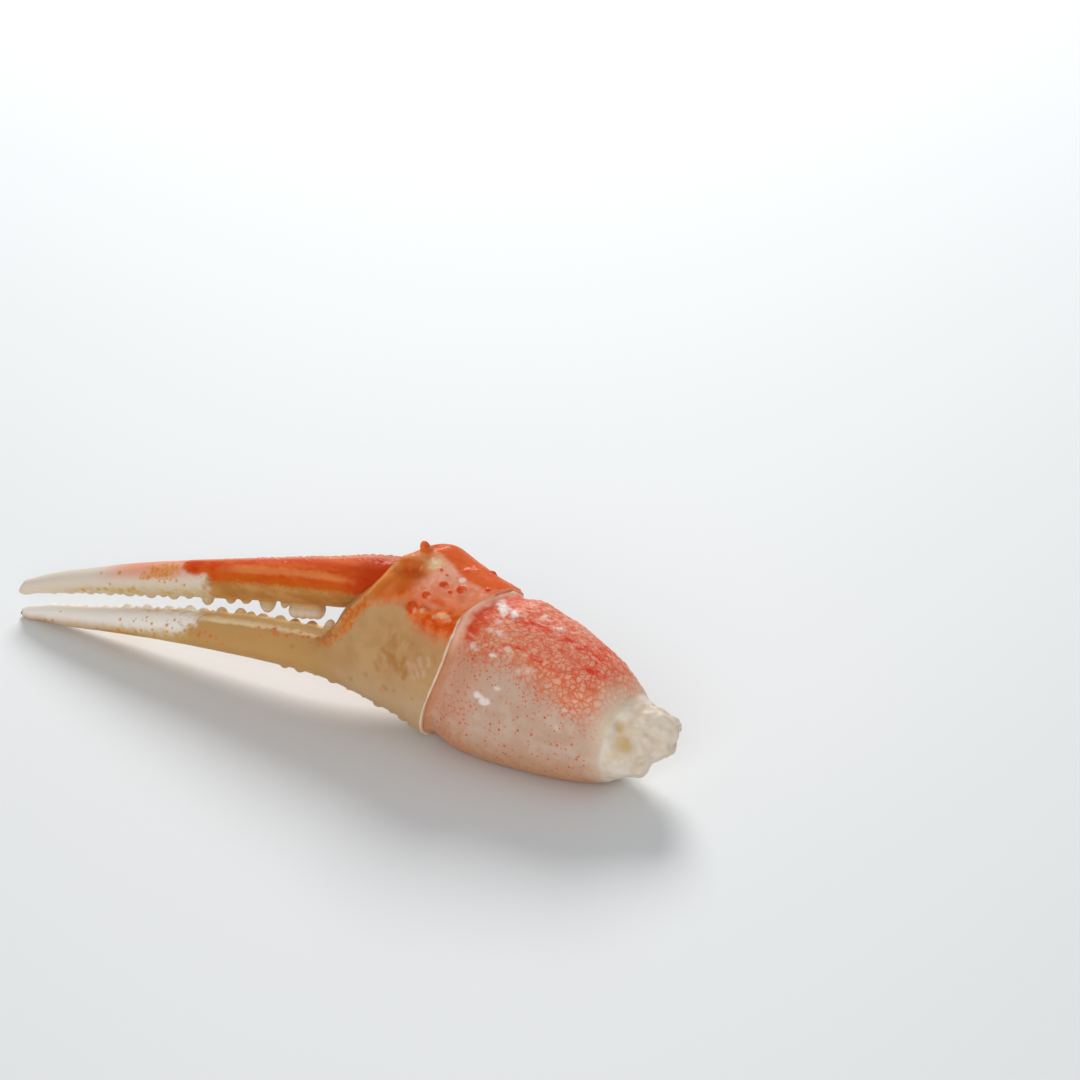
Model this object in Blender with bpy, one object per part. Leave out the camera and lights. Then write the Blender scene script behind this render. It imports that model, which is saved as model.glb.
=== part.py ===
"""A cooked snow crab claw lying on a flat surface, peeled at the back.

Three pieces: the palm's shell, which is one with the fixed finger, the moving finger in its socket, and the
meat, which fills the shell and comes out of its cut edge. Metres, +Z up, +X from the fingertips to the meat.
The outlines are drawn in the claw's own plane, in millimetres: u runs along the floor line from the tip of the
fixed finger, v rises towards the dorsal edge, and w points out of the outer face. placed() leans that plane
back and puts it on the floor.
"""

import math

import bmesh
import bpy
import numpy as np
from mathutils import Matrix, Vector, noise

MM = 0.001

# Pose
LEAN = math.radians(17)  # of the claw's plane, back from upright
LIFT = -0.2  # of the floor line's own height
ORIGIN_U = 59.45  # the middle of the claw's box, which is the part's origin
ORIGIN_Y = 4.96

# Walls and gaps
WALL = 1.15  # the palm's shell
GAP = 0.35  # between pieces that touch

# Stations of each loft, from its tip. Each gives the ventral point (u, v), the dorsal point (u, v), half the
# thickness, the superellipse exponents of the dorsal and the ventral half (2 is an ellipse, more is squarer),
# the shift of the dorsal point towards the inner face and the height of the ridge along the outer face.
PALM_STATIONS = (
    (0.2, 0.6, 0.2, 1.5, 0.5, 2.0, 2.0, 0.0, 0.0),
    (1.2, 0.2, 1.1, 2.1, 1.0, 2.0, 2.0, 0.0, 0.0),
    (4.0, 0.5, 3.8, 2.8, 1.5, 2.0, 2.0, 0.0, 0.0),
    (10.0, 1.2, 10.0, 4.1, 2.1, 2.0, 2.0, 0.0, 0.0),
    (18.0, 2.3, 17.8, 5.7, 2.6, 2.0, 2.0, 0.0, 0.0),
    (26.0, 3.3, 25.8, 7.2, 3.0, 2.0, 2.0, 0.0, 0.0),
    (36.0, 4.2, 35.8, 9.1, 3.4, 2.1, 2.0, 0.0, 0.0),
    (46.0, 4.9, 45.8, 10.6, 3.9, 2.2, 2.0, 0.0, 0.0),
    (53.0, 5.2, 53.6, 11.4, 4.5, 2.2, 2.0, 0.0, 0.0),
    (57.4, 5.1, 58.3, 12.2, 5.4, 2.3, 2.0, 0.0, 0.0),
    (60.8, 4.8, 60.4, 15.3, 6.5, 2.6, 2.0, 0.0, 0.0),
    (63.8, 4.4, 62.2, 18.7, 7.6, 3.0, 2.1, 0.2, 0.0),
    (66.6, 3.9, 64.7, 22.3, 8.5, 3.0, 2.1, 0.6, 0.0),
    (69.2, 3.3, 67.1, 25.7, 9.2, 2.7, 2.1, 1.2, 0.1),
    (71.6, 2.8, 70.0, 28.6, 9.6, 2.4, 2.1, 1.8, 0.3),
    (73.8, 2.2, 74.6, 30.0, 9.8, 2.2, 2.1, 2.2, 0.6),
    (75.6, 1.6, 78.9, 28.4, 9.9, 2.2, 2.1, 2.2, 0.7),
    (76.8, 1.2, 83.2, 27.1, 10.0, 2.2, 2.1, 1.8, 0.6),
    (77.8, 0.8, 87.2, 26.1, 10.0, 2.2, 2.1, 1.4, 0.3),
)
FINGER_STATIONS = (
    (-0.6, 4.0, -0.5, 5.0, 0.5, 2.0, 2.0, 0.0, 0.0),
    (0.2, 3.9, 0.0, 6.0, 0.9, 2.0, 2.0, 0.0, 0.0),
    (2.4, 4.6, 1.8, 7.1, 1.3, 2.0, 2.0, 0.0, 0.0),
    (7.3, 5.9, 6.3, 9.2, 1.8, 2.0, 2.0, 0.0, 0.0),
    (14.4, 7.7, 13.2, 11.7, 2.3, 2.0, 2.0, 0.0, 0.0),
    (20.9, 9.1, 19.5, 13.9, 2.7, 2.0, 2.0, 0.0, 0.0),
    (31.0, 11.3, 29.3, 16.8, 3.1, 2.1, 2.0, 0.0, 0.0),
    (41.4, 13.4, 39.4, 19.6, 3.6, 2.2, 2.0, 0.0, 0.0),
    (48.1, 14.8, 45.8, 21.3, 4.0, 2.3, 2.0, 0.0, 0.0),
    (54.6, 15.9, 52.1, 23.0, 4.3, 2.3, 2.0, 0.0, 0.0),
    (60.0, 16.8, 57.5, 24.4, 4.7, 2.4, 2.0, 0.0, 0.0),
    (64.5, 18.3, 63.0, 25.9, 5.0, 2.4, 2.0, 0.0, 0.0),
    (69.0, 20.3, 67.8, 26.4, 4.6, 2.2, 2.0, 0.0, 0.0),
    (71.8, 22.3, 71.0, 25.3, 2.6, 2.0, 2.0, 0.0, 0.0),
)
# The deep end of the hollow that the meat fills; the rest of it follows the palm's outside.
HOLLOW_STATIONS = (
    (62.5, 7.4, 63.2, 11.6, 2.4, 2.0, 2.0, 0.0, 0.0),
    (64.6, 6.4, 66.8, 15.4, 5.4, 2.0, 2.0, 0.0, 0.0),
    (68.0, 5.6, 71.6, 20.0, 7.3, 2.0, 2.0, 0.5, 0.0),
    (71.8, 4.6, 75.6, 24.4, 8.3, 2.0, 2.0, 1.2, 0.0),
)
# The meat outside the shell
MEAT_STATIONS = (
    (80.0, 1.6, 89.2, 25.1, 8.9, 2.2, 2.2, 1.0, 0.0),
    (82.2, 0.7, 91.5, 25.5, 9.5, 2.2, 2.4, 0.8, 0.0),
    (87.0, 0.0, 95.3, 24.7, 9.7, 2.1, 2.5, 0.4, 0.0),
    (93.0, 0.0, 99.5, 23.5, 9.6, 2.1, 2.5, 0.2, 0.0),
    (99.0, 0.0, 103.5, 21.8, 9.2, 2.0, 2.4, 0.0, 0.0),
    (104.5, 0.4, 107.2, 19.9, 8.5, 2.0, 2.2, 0.0, 0.0),
    (108.8, 1.4, 110.0, 17.4, 7.6, 2.0, 2.0, 0.0, 0.0),
    (112.4, 3.0, 112.6, 15.4, 6.6, 2.0, 2.0, 0.0, 0.0),
    (115.2, 5.0, 115.4, 14.4, 5.4, 2.0, 2.0, 0.0, 0.0),
    (117.2, 7.4, 117.8, 14.0, 3.8, 2.0, 2.0, 0.0, 0.0),
    (118.6, 10.0, 119.6, 13.8, 1.8, 2.0, 2.0, 0.0, 0.0),
)
FLAKES_FROM = 0.68  # share of the meat outside the shell at which its broken end begins
FLAKE_RELIEF = 1.3
PIT, PIT_RADIUS, PIT_DEPTH = (113.0, 9.5, 5.5), 2.0, 1.8
RIDGE_ANGLE = math.radians(27)  # round the ring from the outer side, with the spines along it
RIM_SHARE = 0.9  # of the palm's stations, from which the cut edge's own shape sets in
RIM_DIP = 2.6  # of the cut edge towards the fingers, above the outer ridge

# How finely each loft is cut: rings along it and points round it
PALM_RINGS, PALM_SIDES = 50, 32
FINGER_RINGS, FINGER_SIDES = 36, 20
MEAT_RINGS, MEAT_SIDES = 38, 32

# Teeth as (u on the biting edge, radius along it, height proud of it)
FIXED_TEETH = (
    (9.0, 0.7, 0.25),
    (12.5, 0.8, 0.3),
    (16.0, 0.8, 0.35),
    (19.8, 0.8, 0.4),
    (23.5, 0.75, 0.45),
    (27.6, 0.9, 0.7),
    (31.2, 0.6, 0.5),
    (34.0, 0.8, 0.8),
    (37.4, 0.8, 0.8),
    (40.8, 0.8, 0.8),
    (42.9, 0.8, 0.9),
    (45.2, 0.7, 0.8),
    (48.0, 0.9, 1.0),
    (51.0, 0.85, 1.0),
    (54.2, 0.9, 1.2),
)
MOVING_TEETH = (
    (9.0, 0.8, 0.2),
    (12.6, 0.8, 0.3),
    (16.2, 0.8, 0.3),
    (20.0, 0.9, 0.35),
    (24.0, 0.9, 0.5),
    (28.2, 0.9, 0.6),
    (34.6, 1.0, 1.0),
    (38.3, 0.75, 0.9),
    (41.2, 0.65, 0.8),
    (45.2, 1.25, 2.0),
    (48.2, 0.65, 1.3),
    (50.9, 1.5, 2.6),
    (52.9, 1.5, 2.5),
    (54.8, 1.2, 2.2),
)

# Bumps on the palm as (u, v, side of the claw's plane, radius, height proud of the shell)
SPINES = (
    (75.6, 21.7, 1, 0.9, 0.9),
    (76.8, 21.2, 1, 1.0, 1.1),
    (80.9, 21.0, 1, 1.2, 1.3),
    (83.2, 20.6, 1, 1.0, 0.7),
    (69.6, 27.9, -1, 1.1, 1.7),
    (77.6, 28.2, -1, 0.9, 0.6),
)
TUBERCLES = (
    (76.0, 23.4, 1, 0.65, 0.55),
    (78.8, 25.0, 1, 0.65, 0.55),
    (81.6, 25.2, 1, 0.85, 0.65),
    (79.4, 26.8, 1, 0.5, 0.35),
    (81.0, 26.4, 1, 0.5, 0.35),
    (79.6, 23.7, 1, 0.4, 0.3),
    (85.2, 25.4, 1, 0.55, 0.4),
)
KNUCKLE = (71.9, 25.7, 4.0)  # the outer joint knob
KEEL_TEETH = 12  # saw teeth of the palm's ventral edge
KEEL_ANGLE = math.radians(-80)
KEEL_FROM, KEEL_TO = 0.60, 0.955


def station_knots(stations):
    """The distance of each station along the middle line, from 0 to 1."""
    rows = np.array(stations)
    middle = (rows[:, 0:2] + rows[:, 2:4]) / 2
    steps = np.linalg.norm(np.diff(middle, axis=0), axis=1)
    knots = np.concatenate([[0.0], np.cumsum(steps)])
    return rows, knots / knots[-1]


def station_at(stations, share):
    """The station at a share of the middle line's length, on a smooth cubic through the given ones."""
    rows, knots = station_knots(stations)
    slopes = np.gradient(rows, knots, axis=0)
    i = int(np.clip(np.searchsorted(knots, share) - 1, 0, len(knots) - 2))
    width = knots[i + 1] - knots[i]
    t = (share - knots[i]) / width
    return (
        (2 * t**3 - 3 * t**2 + 1) * rows[i]
        + (t**3 - 2 * t**2 + t) * width * slopes[i]
        + (3 * t**2 - 2 * t**3) * rows[i + 1]
        + (t**3 - t**2) * width * slopes[i + 1]
    )


def turn_from(angle, centre):
    """How far an angle is from a centre, the short way round."""
    return abs((angle - centre + math.pi) % (2 * math.pi) - math.pi)


def ring_point(station, angle, inset=0.0):
    """A point (u, v, w) of a station's ring. Angle 0 is the outer side and a quarter turn is the dorsal side."""
    low, high = Vector(station[0:2]), Vector(station[2:4])
    half_width, dorsal_square, ventral_square, shift, ridge = station[4:9]
    across, rise = math.cos(angle), math.sin(angle)
    power = 2 / (dorsal_square if rise > 0 else ventral_square)
    across = math.copysign(abs(across) ** power, across)
    rise = math.copysign(abs(rise) ** power, rise)
    crest = ridge * math.exp(-((turn_from(angle, RIDGE_ANGLE) / 0.3) ** 2))
    upward = (high - low).normalized()
    half_height = (high - low).length / 2 - inset
    in_plane = (low + high) / 2 + upward * (rise * half_height + crest * 0.5)
    w = across * (half_width - inset) + crest * 0.8 - shift * (1 + rise) / 2
    return Vector((in_plane.x, in_plane.y, w))


def placed(point):
    """A claw point in millimetres put in its place on the floor, in metres."""
    u, v, w = point
    y = v * math.sin(LEAN) - w * math.cos(LEAN)
    z = v * math.cos(LEAN) + w * math.sin(LEAN) + LIFT
    return Vector((u - ORIGIN_U, y - ORIGIN_Y, max(z, 0.0))) * MM


def material(name, colour, roughness):
    made = bpy.data.materials.new(name)
    made.use_nodes = True
    shader = made.node_tree.nodes["Principled BSDF"]
    shader.inputs["Base Color"].default_value = (*colour, 1)
    shader.inputs["Roughness"].default_value = roughness
    shader.inputs["Metallic"].default_value = 0
    return made


def object_of(bm, name, surface=None, collection=None):
    bmesh.ops.recalc_face_normals(bm, faces=bm.faces)
    mesh = bpy.data.meshes.new(name)
    bm.to_mesh(mesh)
    bm.free()
    if surface:
        mesh.materials.append(surface)
    mesh.shade_smooth()
    made = bpy.data.objects.new(name, mesh)
    (collection or bpy.context.scene.collection).objects.link(made)
    return made


def loft(name, rings, surface=None, collection=None):
    """A closed body through rings of claw points, its two ends closed by fans."""
    bm = bmesh.new()
    made = [[bm.verts.new(placed(point)) for point in ring] for ring in rings]
    for a, b in zip(made, made[1:]):
        for i in range(len(a)):
            j = (i + 1) % len(a)
            bm.faces.new((a[i], a[j], b[j], b[i]))
    for ring in (rings[0], rings[-1]):
        verts = made[0] if ring is rings[0] else made[-1]
        centre = bm.verts.new(placed(sum(ring, Vector((0, 0, 0))) / len(ring)))
        for i in range(len(verts)):
            bm.faces.new((verts[i], verts[(i + 1) % len(verts)], centre))
    bmesh.ops.triangulate(bm, faces=bm.faces)
    return object_of(bm, name, surface, collection)


def angles(count):
    return [2 * math.pi * i / count for i in range(count)]


def bump(name, place, radii, collection, detail=2):
    """A small ellipsoid at a claw point, with radii along u, v and w in millimetres."""
    bm = bmesh.new()
    bmesh.ops.create_icosphere(bm, subdivisions=detail, radius=1)
    for vert in bm.verts:
        offset = Vector(vert.co[i] * radii[i] for i in range(3))
        vert.co = placed(Vector(place) + offset)
    return object_of(bm, name, collection=collection)


def helper_collection(name):
    made = bpy.data.collections.new(name)
    bpy.context.scene.collection.children.link(made)
    return made


def applied(target, operation, collection=None, cutter=None):
    """Joins or cuts the target, keeps the result as its mesh and removes the helpers."""
    modifier = target.modifiers.new(operation.lower(), "BOOLEAN")
    modifier.operation = operation
    modifier.solver = "EXACT"
    if collection:
        modifier.operand_type = "COLLECTION"
        modifier.collection = collection
        helpers = list(collection.objects)
    else:
        modifier.object = cutter
        helpers = [cutter]
    bpy.context.view_layer.update()
    graph = bpy.context.evaluated_depsgraph_get()
    mesh = bpy.data.meshes.new_from_object(target.evaluated_get(graph))
    target.modifiers.clear()
    target.data = mesh
    for helper in helpers:
        bpy.data.objects.remove(helper)
    if collection:
        bpy.data.collections.remove(collection)


def share_at(stations, u, dorsal):
    """The share of the stations at which the dorsal or the ventral line passes u."""
    rows, knots = station_knots(stations)
    column = rows[:, 2] if dorsal else rows[:, 0]
    return float(np.interp(u, column, knots))


def add_teeth(collection, stations, teeth, dorsal):
    """A row of rounded teeth on a finger's biting edge: on its dorsal line, or on its ventral line."""
    side = 1 if dorsal else -1
    for number, (u, radius, proud) in enumerate(teeth):
        station = station_at(stations, share_at(stations, u, dorsal))
        edge = ring_point(station, side * math.pi / 2)
        deep = max(radius * 0.9, proud * 0.75)
        place = edge + Vector((0, side * (proud - deep), 0))
        bump(f"tooth_{number}", place, (radius, deep, radius), collection)


def palm_ring(share, inset, sides):
    """The palm's ring at a share of its stations. Its cut edge dips above the outer ridge."""
    station = station_at(PALM_STATIONS, share)
    near = max(0.0, (share - RIM_SHARE) / (1 - RIM_SHARE)) ** 2
    ring = []
    for angle in angles(sides):
        point = ring_point(station, angle, inset)
        point.x -= RIM_DIP * near * math.exp(-((turn_from(angle, math.radians(48)) / 0.62) ** 2))
        ring.append(point)
    return ring


def palm_rings(inset, first, last, count, sides):
    """Rings of the palm's stations between two shares, drawn in by an inset."""
    return [palm_ring(first + (last - first) * i / (count - 1), inset, sides) for i in range(count)]


def hollow_rings(inset, sides):
    """The hollow that the meat fills, from its deep end to the palm's cut edge, drawn in by an inset."""
    rings = []
    for i in range(7):
        station = station_at(HOLLOW_STATIONS, i / 6)
        rings.append([ring_point(station, angle, inset) for angle in angles(sides)])
    return rings + palm_rings(WALL + inset, 0.93, 1.0, 4, sides)


def add_bumps(collection, name, bumps):
    """Bumps on the palm, each an ellipsoid whose top stands proud of the shell."""
    grid = []
    for share in np.linspace(0.7, 1.0, 90):
        grid += palm_ring(share, 0.0, 120)
    for number, (u, v, side, radius, proud) in enumerate(bumps):
        sided = [point for point in grid if point.z * side > 0]
        spot = min(sided, key=lambda point: (point.x - u) ** 2 + (point.y - v) ** 2)
        outward = Vector((0, (spot.y - 15) * 0.45, spot.z)).normalized()
        place = spot + outward * (proud - radius)
        bump(f"{name}_{number}", place, (radius, radius, radius), collection)


def socket_cutter():
    """The moving finger's base, drawn out by the gap: the socket that it sits in."""
    rings = []
    for share in np.linspace(0.8, 1.0, 10):
        station = station_at(FINGER_STATIONS, share)
        rings.append([ring_point(station, angle, -GAP) for angle in angles(FINGER_SIDES)])
    end = rings[-1]
    rings.append([point + Vector((GAP, 0, 0)) for point in end])
    return cutter("socket", rings)


def hollow_cutter():
    """The hollow of the palm, run out past the cut edge."""
    rings = hollow_rings(0.0, MEAT_SIDES)
    outward = ring_middle(rings[-1]) - ring_middle(rings[-2])
    rings.append([point + outward.normalized() * 3 for point in rings[-1]])
    return cutter("hollow", rings)


def cutter(name, rings):
    made = loft(name, rings)
    made.hide_render = True
    made.display_type = "WIRE"
    return made


def ring_middle(ring):
    return sum(ring, Vector((0, 0, 0))) / len(ring)


def make_palm(surface):
    rings = palm_rings(0.0, 0.0, 1.0, PALM_RINGS, PALM_SIDES)
    palm = loft("palm_shell", rings, surface)
    relief = helper_collection("palm_relief")
    add_teeth(relief, PALM_STATIONS, FIXED_TEETH, dorsal=True)
    add_bumps(relief, "spine", SPINES)
    add_bumps(relief, "tubercle", TUBERCLES)
    for side in (1, -1):
        place = Vector((KNUCKLE[0], KNUCKLE[1], KNUCKLE[2] * side - 0.8))
        bump(f"knuckle_{side}", place, (3.0, 2.8, 2.6), relief)
    for number in range(KEEL_TEETH):
        share = KEEL_FROM + (KEEL_TO - KEEL_FROM) * number / (KEEL_TEETH - 1)
        edge = ring_point(station_at(PALM_STATIONS, share), KEEL_ANGLE)
        bump(f"keel_{number}", edge + Vector((0, 0.15, 0)), (0.65, 0.55, 0.6), relief, detail=1)
    applied(palm, "UNION", collection=relief)
    applied(palm, "DIFFERENCE", cutter=socket_cutter())
    applied(palm, "DIFFERENCE", cutter=hollow_cutter())
    return palm


def make_finger(surface):
    rings = []
    for i in range(FINGER_RINGS):
        station = station_at(FINGER_STATIONS, i / (FINGER_RINGS - 1))
        rings.append([ring_point(station, angle) for angle in angles(FINGER_SIDES)])
    finger = loft("moving_finger", rings, surface)
    relief = helper_collection("finger_relief")
    add_teeth(relief, FINGER_STATIONS, MOVING_TEETH, dorsal=False)
    applied(finger, "UNION", collection=relief)
    return finger


def flaked(point, middle, share):
    """A point of the meat moved in or out by the flakes of its broken end and the pit in it."""
    broken = min(1.0, max(0.0, (share - FLAKES_FROM) / 0.25))
    lumps = noise.noise(point * 0.28) + 0.6 * noise.noise(point * 0.62)
    pit = math.exp(-((point - Vector(PIT)).length / PIT_RADIUS) ** 2)
    outward = (point - middle).normalized()
    return point + outward * (FLAKE_RELIEF * broken * lumps - PIT_DEPTH * pit)


def make_meat(surface):
    outside = []
    for i in range(MEAT_RINGS):
        share = 1 - (1 - i / (MEAT_RINGS - 1)) ** 1.3
        station = station_at(MEAT_STATIONS, share)
        ring = [ring_point(station, angle) for angle in angles(MEAT_SIDES)]
        middle = ring_middle(ring)
        outside.append([flaked(point, middle, share) for point in ring])
    return loft("meat", hollow_rings(GAP, MEAT_SIDES) + outside, surface)


def main():
    for old in list(bpy.data.objects):
        bpy.data.objects.remove(old)
    shell = material("shell", (0.72, 0.50, 0.28), 0.32)
    finger_shell = material("finger_shell", (0.74, 0.25, 0.10), 0.32)
    flesh = material("meat", (0.80, 0.42, 0.32), 0.3)
    make_palm(shell)
    make_finger(finger_shell)
    make_meat(flesh)


main()
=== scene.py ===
"""Looks of the snow crab claw: shell, moving finger and meat at full detail, with procedural materials.

Each piece is made in the claw's own millimetres (u from the fingertips to the meat, v from the ventral to the
dorsal edge, w out of the outer face) and then put in its place on the floor, where its CAD node lies.
"""

import math

import bmesh
import bpy
import numpy as np
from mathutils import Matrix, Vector
from mathutils import noise as gradient_noise


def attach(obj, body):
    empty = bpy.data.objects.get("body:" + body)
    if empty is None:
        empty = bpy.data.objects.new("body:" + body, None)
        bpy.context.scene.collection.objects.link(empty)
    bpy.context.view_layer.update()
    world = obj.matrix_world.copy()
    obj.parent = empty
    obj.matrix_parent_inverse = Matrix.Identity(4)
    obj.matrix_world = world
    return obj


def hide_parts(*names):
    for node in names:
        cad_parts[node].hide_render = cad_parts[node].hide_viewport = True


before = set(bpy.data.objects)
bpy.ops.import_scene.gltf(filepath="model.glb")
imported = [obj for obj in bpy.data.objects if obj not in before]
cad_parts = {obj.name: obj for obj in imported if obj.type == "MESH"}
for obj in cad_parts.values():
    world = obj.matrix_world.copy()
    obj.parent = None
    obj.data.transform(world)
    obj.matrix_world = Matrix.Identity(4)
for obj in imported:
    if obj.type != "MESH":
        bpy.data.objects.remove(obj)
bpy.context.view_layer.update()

MM = 0.001

# ---------------------------------------------------------------- the claw's outlines, as in the CAD source

LEAN, LIFT = math.radians(17), -0.2
ORIGIN_U, ORIGIN_Y = 59.45, 4.96
WALL, GAP = 1.15, 0.35
RIDGE_DEGREES = 27
RIM_SHARE, RIM_DIP = 0.9, 2.6
RIM_FACING = np.array((0.937, -0.348, 0.0))
FLAKE_RELIEF = 1.3
PIT, PIT_RADIUS, PIT_DEPTH = (113.0, 9.5, 5.5), 2.0, 1.8
SMALL_PIT, SMALL_PIT_RADIUS = (111.9, 12.6, 5.9), 0.9
TIP_PORE = (0.35, 1.2, 0.4)
LIP_RADIUS, SAW_TEETH = 0.34, 11

# Edges of the evened-out meshes' cells, and a distance that is out of every mark's reach
PALM_VOXEL, FINGER_VOXEL, MEAT_VOXEL = 0.22, 0.17, 0.235
FAR = 9


def stations(*rows):
    """Rings as (low u, low v, high u, high v, half width, dorsal and ventral power, shift in w, ridge).

    A row may leave out the end, where its ring is an ellipse, not shifted and without a ridge.
    """
    return [row + (2, 2, 0, 0)[len(row) - 5 :] for row in rows]


PALM_STATIONS = stations(
    (0.2, 0.6, 0.2, 1.5, 0.5), (1.2, 0.2, 1.1, 2.1, 1), (4, 0.5, 3.8, 2.8, 1.5), (10, 1.2, 10, 4.1, 2.1),
    (18, 2.3, 17.8, 5.7, 2.6), (26, 3.3, 25.8, 7.2, 3), (36, 4.2, 35.8, 9.1, 3.4, 2.1),
    (46, 4.9, 45.8, 10.6, 3.9, 2.2), (53, 5.2, 53.6, 11.4, 4.5, 2.2), (57.4, 5.1, 58.3, 12.2, 5.4, 2.3),
    (60.8, 4.8, 60.4, 15.3, 6.5, 2.6), (63.8, 4.4, 62.2, 18.7, 7.6, 3, 2.1, 0.2),
    (66.6, 3.9, 64.7, 22.3, 8.5, 3, 2.1, 0.6), (69.2, 3.3, 67.1, 25.7, 9.2, 2.7, 2.1, 1.2, 0.1),
    (71.6, 2.8, 70, 28.6, 9.6, 2.4, 2.1, 1.8, 0.3), (73.8, 2.2, 74.6, 30, 9.8, 2.2, 2.1, 2.2, 0.6),
    (75.6, 1.6, 78.9, 28.4, 9.9, 2.2, 2.1, 2.2, 0.7), (76.8, 1.2, 83.2, 27.1, 10, 2.2, 2.1, 1.8, 0.6),
    (77.8, 0.8, 87.2, 26.1, 10, 2.2, 2.1, 1.4, 0.3),
)
FINGER_STATIONS = stations(
    (-0.6, 4, -0.5, 5, 0.5), (0.2, 3.9, 0.0, 6, 0.9), (2.4, 4.6, 1.8, 7.1, 1.3), (7.3, 5.9, 6.3, 9.2, 1.8),
    (14.4, 7.7, 13.2, 11.7, 2.3), (20.9, 9.1, 19.5, 13.9, 2.7), (31, 11.3, 29.3, 16.8, 3.1, 2.1),
    (41.4, 13.4, 39.4, 19.6, 3.6, 2.2), (48.1, 14.8, 45.8, 21.3, 4, 2.3), (54.6, 15.9, 52.1, 23, 4.3, 2.3),
    (60, 16.8, 57.5, 24.4, 4.7, 2.4), (64.5, 18.3, 63, 25.9, 5, 2.4), (69, 20.3, 67.8, 26.4, 4.6, 2.2),
    (71.8, 22.3, 71, 25.3, 2.6),
)
HOLLOW_STATIONS = stations(
    (62.5, 7.4, 63.2, 11.6, 2.4), (64.6, 6.4, 66.8, 15.4, 5.4), (68, 5.6, 71.6, 20, 7.3, 2, 2, 0.5),
    (71.8, 4.6, 75.6, 24.4, 8.3, 2, 2, 1.2),
)
MEAT_STATIONS = stations(
    (80, 1.6, 89.2, 25.1, 8.9, 2.2, 2.2, 1), (82.2, 0.7, 91.5, 25.5, 9.5, 2.2, 2.4, 0.8),
    (87, 0.0, 95.3, 24.7, 9.7, 2.1, 2.5, 0.4), (93, 0.0, 99.5, 23.5, 9.6, 2.1, 2.5, 0.2),
    (99, 0.0, 103.5, 21.8, 9.2, 2, 2.4), (104.5, 0.4, 107.2, 19.9, 8.5, 2, 2.2),
    (108.8, 1.4, 110, 17.4, 7.6), (112.4, 3, 112.6, 15.4, 6.6), (115.2, 5, 115.4, 14.4, 5.4),
    (117.2, 7.4, 117.8, 14, 3.8), (118.6, 10, 119.6, 13.8, 1.8),
)

# Teeth as (u on the biting edge, radius along it, height proud of it)
FIXED_TEETH = (
    (5.6, 0.7, 0.2), (7.4, 0.55, 0.15), (9, 0.7, 0.25), (10.8, 0.6, 0.2), (12.5, 0.8, 0.3),
    (14.3, 0.6, 0.2), (16, 0.8, 0.35), (17.9, 0.65, 0.25), (19.8, 0.9, 0.6), (21.7, 0.6, 0.3),
    (23.5, 0.9, 0.55), (25.6, 0.6, 0.3), (27.6, 1, 0.5), (29.6, 0.6, 0.4), (31.4, 0.95, 0.75),
    (34, 0.95, 0.45), (35.6, 0.4, 0.35), (37.3, 0.95, 0.9), (40.7, 1.05, 1.05), (42.6, 0.8, 0.7),
    (44.8, 1, 0.6), (46.4, 0.45, 0.3), (48, 1, 0.75), (50.7, 0.95, 0.65), (53.8, 0.95, 0.7),
    (56.9, 1.05, 1.65),
)
MOVING_TEETH = (
    (5.6, 0.8, 0.15), (9, 0.9, 0.2), (10.9, 0.6, 0.15), (12.6, 0.9, 0.3), (14.5, 0.6, 0.2),
    (16.2, 0.9, 0.35), (18.2, 0.6, 0.25), (20, 1, 0.4), (22, 0.7, 0.35), (24, 1, 0.55), (26.3, 0.7, 0.4),
    (28.2, 1, 0.65), (31, 0.8, 0.45), (34.5, 1.1, 1.35), (38.8, 0.9, 0.9), (41.5, 0.95, 0.8),
    (45.4, 1.45, 2), (48.7, 0.8, 1.25),
)
# The molar's lobes as (u, radius along the edge, radius down it, height proud of it)
MOLAR = (
    (50.8, 1.2, 1.3, 2.6), (52.1, 1.2, 1.4, 2.6), (53.5, 1.2, 1.4, 2.5), (54.7, 1.05, 1.5, 2.5),
    (52.4, 3.25, 2, 2.2),
)
# Swellings where the moving finger is hinged, as (centre, radii, axis)
KNUCKLES = (
    ((71.8, 25.9, 3.1), (2.9, 2.7, 2.7), None),
    ((71.9, 25.7, -4.8), (3, 2.8, 2.6), None),
    ((69.6, 22.9, 5.8), (1.9, 2.2, 4.6), (-0.62, -0.78, 0.35)),
)
# Knobs on the palm as (u, v, side of the claw's plane, radius, height, lean, pale tip or -1 for plain)
KNOBS = (
    (75.5, 21.9, 1, 1, 1, 0.4, 0.0), (77.4, 21.6, 1, 0.85, 1, 0.5, 0.85),
    (78.4, 21.2, 1, 0.8, 0.6, 0.2, -1), (79.6, 21.2, 1, 0.75, 0.6, 0.1, 0.45),
    (80.2, 21.5, 1, 0.95, 0.9, 0.0, 0.75), (80.9, 21.6, 1, 0.95, 0.95, 0.0, 0.75),
    (81.5, 21.5, 1, 0.75, 0.65, 0.0, 0.6), (72.8, 29.2, 1, 1, 1.8, 0.3, 0.25),
    (82.2, 27.2, -1, 0.8, 0.45, 0.0, 0.0), (80.7, 25.3, 1, 0.85, 0.7, 0.0, 0.0),
    (78, 25.5, 1, 0.8, 0.62, 0.0, 0.0), (76.8, 23.9, 1, 0.75, 0.65, 0.0, 0.0),
    (79.5, 24.7, 1, 0.4, 0.35, 0.0, 0.0), (77.6, 26.7, 1, 0.35, 0.25, 0.0, 0.0),
    (76.6, 27.2, 1, 0.35, 0.25, 0.0, 0.0), (79.7, 27.7, 1, 0.35, 0.25, 0.0, 0.0),
    (84.4, 25.9, 1, 0.5, 0.3, 0.0, 0.0),
)
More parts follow.
